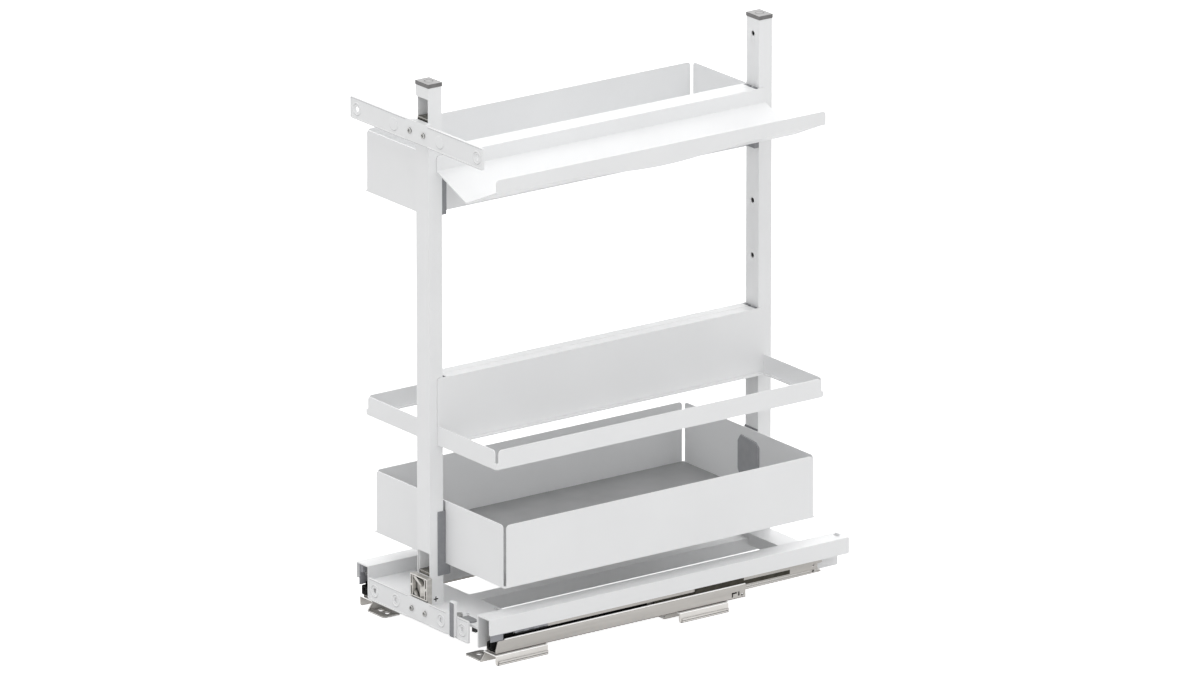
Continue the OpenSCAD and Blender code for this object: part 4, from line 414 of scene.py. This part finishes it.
# Rounding of the sharp edges
WELD_REACH = 0.000005
SHARP_ANGLE = math.radians(40.0)
PRESSED_ROUNDING = 0.65 * MM
PRESSED_STEPS = 3
PLAIN_ROUNDING = 0.3 * MM
PLAIN_STEPS = 2


def soften_edges(piece, width, steps):
    """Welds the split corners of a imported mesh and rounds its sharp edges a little."""
    weld = piece.modifiers.new("weld", "WELD")
    weld.merge_threshold = WELD_REACH
    bevel = piece.modifiers.new("bevel", "BEVEL")
    bevel.width = width
    bevel.segments = steps
    bevel.limit_method = "ANGLE"
    bevel.angle_limit = SHARP_ANGLE
    bevel.harden_normals = False
    bevel.use_clamp_overlap = True


for subpart in frame["record"]["subparts"]:
    piece = NODES[subpart["node"]]
    piece.data.materials.clear()
    slot_material = SLOT_MATERIALS[subpart["material_slot"]]
    piece.data.materials.append(NODE_MATERIALS.get(subpart["node"], slot_material))
    if subpart["node"] in PRESSED_NODES:
        soften_edges(piece, PRESSED_ROUNDING, PRESSED_STEPS)
    else:
        soften_edges(piece, PLAIN_ROUNDING, PLAIN_STEPS)

# Floor: white to the camera, but it still takes the soft shadow of the unit
FLOOR_HALF = 40.0
FLOOR_TONE = 0.75
FLOOR_GLOW = 0.86
FLOOR_MIRRORED = 0.45
floor_mesh = bpy.data.meshes.new("floor")
floor_mesh.from_pydata([(-FLOOR_HALF, -FLOOR_HALF, 0.0), (FLOOR_HALF, -FLOOR_HALF, 0.0),
                        (FLOOR_HALF, FLOOR_HALF, 0.0), (-FLOOR_HALF, FLOOR_HALF, 0.0)],
                       [], [(0, 1, 2, 3)])
floor = bpy.data.objects.new("floor", floor_mesh)
scene.collection.objects.link(floor)
floor_material = bpy.data.materials.new("floor_paper")
floor_material.use_nodes = True
tree = floor_material.node_tree
tree.nodes.clear()
floor_diffuse = tree.nodes.new("ShaderNodeBsdfDiffuse")
floor_diffuse.inputs["Color"].default_value = (FLOOR_TONE, FLOOR_TONE, FLOOR_TONE, 1.0)
floor_path = tree.nodes.new("ShaderNodeLightPath").outputs
floor_mirrored = calculate(tree, "MULTIPLY", floor_path["Is Glossy Ray"], FLOOR_MIRRORED)
floor_through = calculate(tree, "MAXIMUM", floor_path["Is Transmission Ray"], floor_mirrored)
floor_seen = calculate(tree, "MAXIMUM", floor_path["Is Camera Ray"], floor_through)
floor_glow = tree.nodes.new("ShaderNodeEmission")
tree.links.new(calculate(tree, "MULTIPLY", floor_seen, FLOOR_GLOW), floor_glow.inputs["Strength"])
floor_sum = tree.nodes.new("ShaderNodeAddShader")
tree.links.new(floor_diffuse.outputs["BSDF"], floor_sum.inputs[0])
tree.links.new(floor_glow.outputs["Emission"], floor_sum.inputs[1])
floor_output = tree.nodes.new("ShaderNodeOutputMaterial")
tree.links.new(floor_sum.outputs["Shader"], floor_output.inputs["Surface"])
floor_mesh.materials.append(floor_material)

# World: plain studio light that grows upward, to the front and to the right, white to the camera
EVEN_LIGHT = 0.27
LIGHT_ABOVE = 0.6
LIGHT_FRONT = 0.38
LIGHT_RIGHT = 0.61
world = bpy.data.worlds.new("studio")
scene.world = world
world.use_nodes = True
tree = world.node_tree
tree.nodes.clear()
world_place = tree.nodes.new("ShaderNodeTexCoord")
world_axes = tree.nodes.new("ShaderNodeSeparateXYZ")
tree.links.new(world_place.outputs["Generated"], world_axes.inputs["Vector"])
world_strength = EVEN_LIGHT
for axis, far, share in (("Z", 1.0, LIGHT_ABOVE), ("Y", -1.0, LIGHT_FRONT),
                         ("X", 1.0, LIGHT_RIGHT)):
    world_rise = ranged(tree, world_axes.outputs[axis], 0.0, far, 0.0, share)
    world_strength = calculate(tree, "ADD", world_strength, world_rise)
world_light = tree.nodes.new("ShaderNodeBackground")
tree.links.new(world_strength, world_light.inputs["Strength"])
world_white = tree.nodes.new("ShaderNodeBackground")
world_white.inputs["Strength"].default_value = 1.0
world_path = tree.nodes.new("ShaderNodeLightPath").outputs
world_mirrored = calculate(tree, "MAXIMUM", world_path["Is Glossy Ray"],
                           world_path["Is Transmission Ray"])
world_mix = tree.nodes.new("ShaderNodeMixShader")
tree.links.new(calculate(tree, "MAXIMUM", world_path["Is Camera Ray"], world_mirrored),
               world_mix.inputs["Fac"])
tree.links.new(world_light.outputs["Background"], world_mix.inputs[1])
tree.links.new(world_white.outputs["Background"], world_mix.inputs[2])
world_output = tree.nodes.new("ShaderNodeOutputWorld")
tree.links.new(world_mix.outputs["Shader"], world_output.inputs["Surface"])


def soft_sun(name, toward, strength, spread):
    """A broad distant lamp that shines from the given direction, its spread in degrees."""
    data = bpy.data.lights.new(name, "SUN")
    data.energy = strength
    data.angle = math.radians(spread)
    lamp = bpy.data.objects.new(name, data)
    scene.collection.objects.link(lamp)
    lamp.rotation_mode = "QUATERNION"
    lamp.rotation_quaternion = Vector(toward).to_track_quat("Z", "Y")


soft_sun("key_from_above", toward=(0.1, -0.1, 0.98), strength=0.8, spread=70.0)
soft_sun("light_from_behind", toward=(-0.55, 0.75, 0.5), strength=0.85, spread=60.0)

scene.view_settings.view_transform = "Standard"
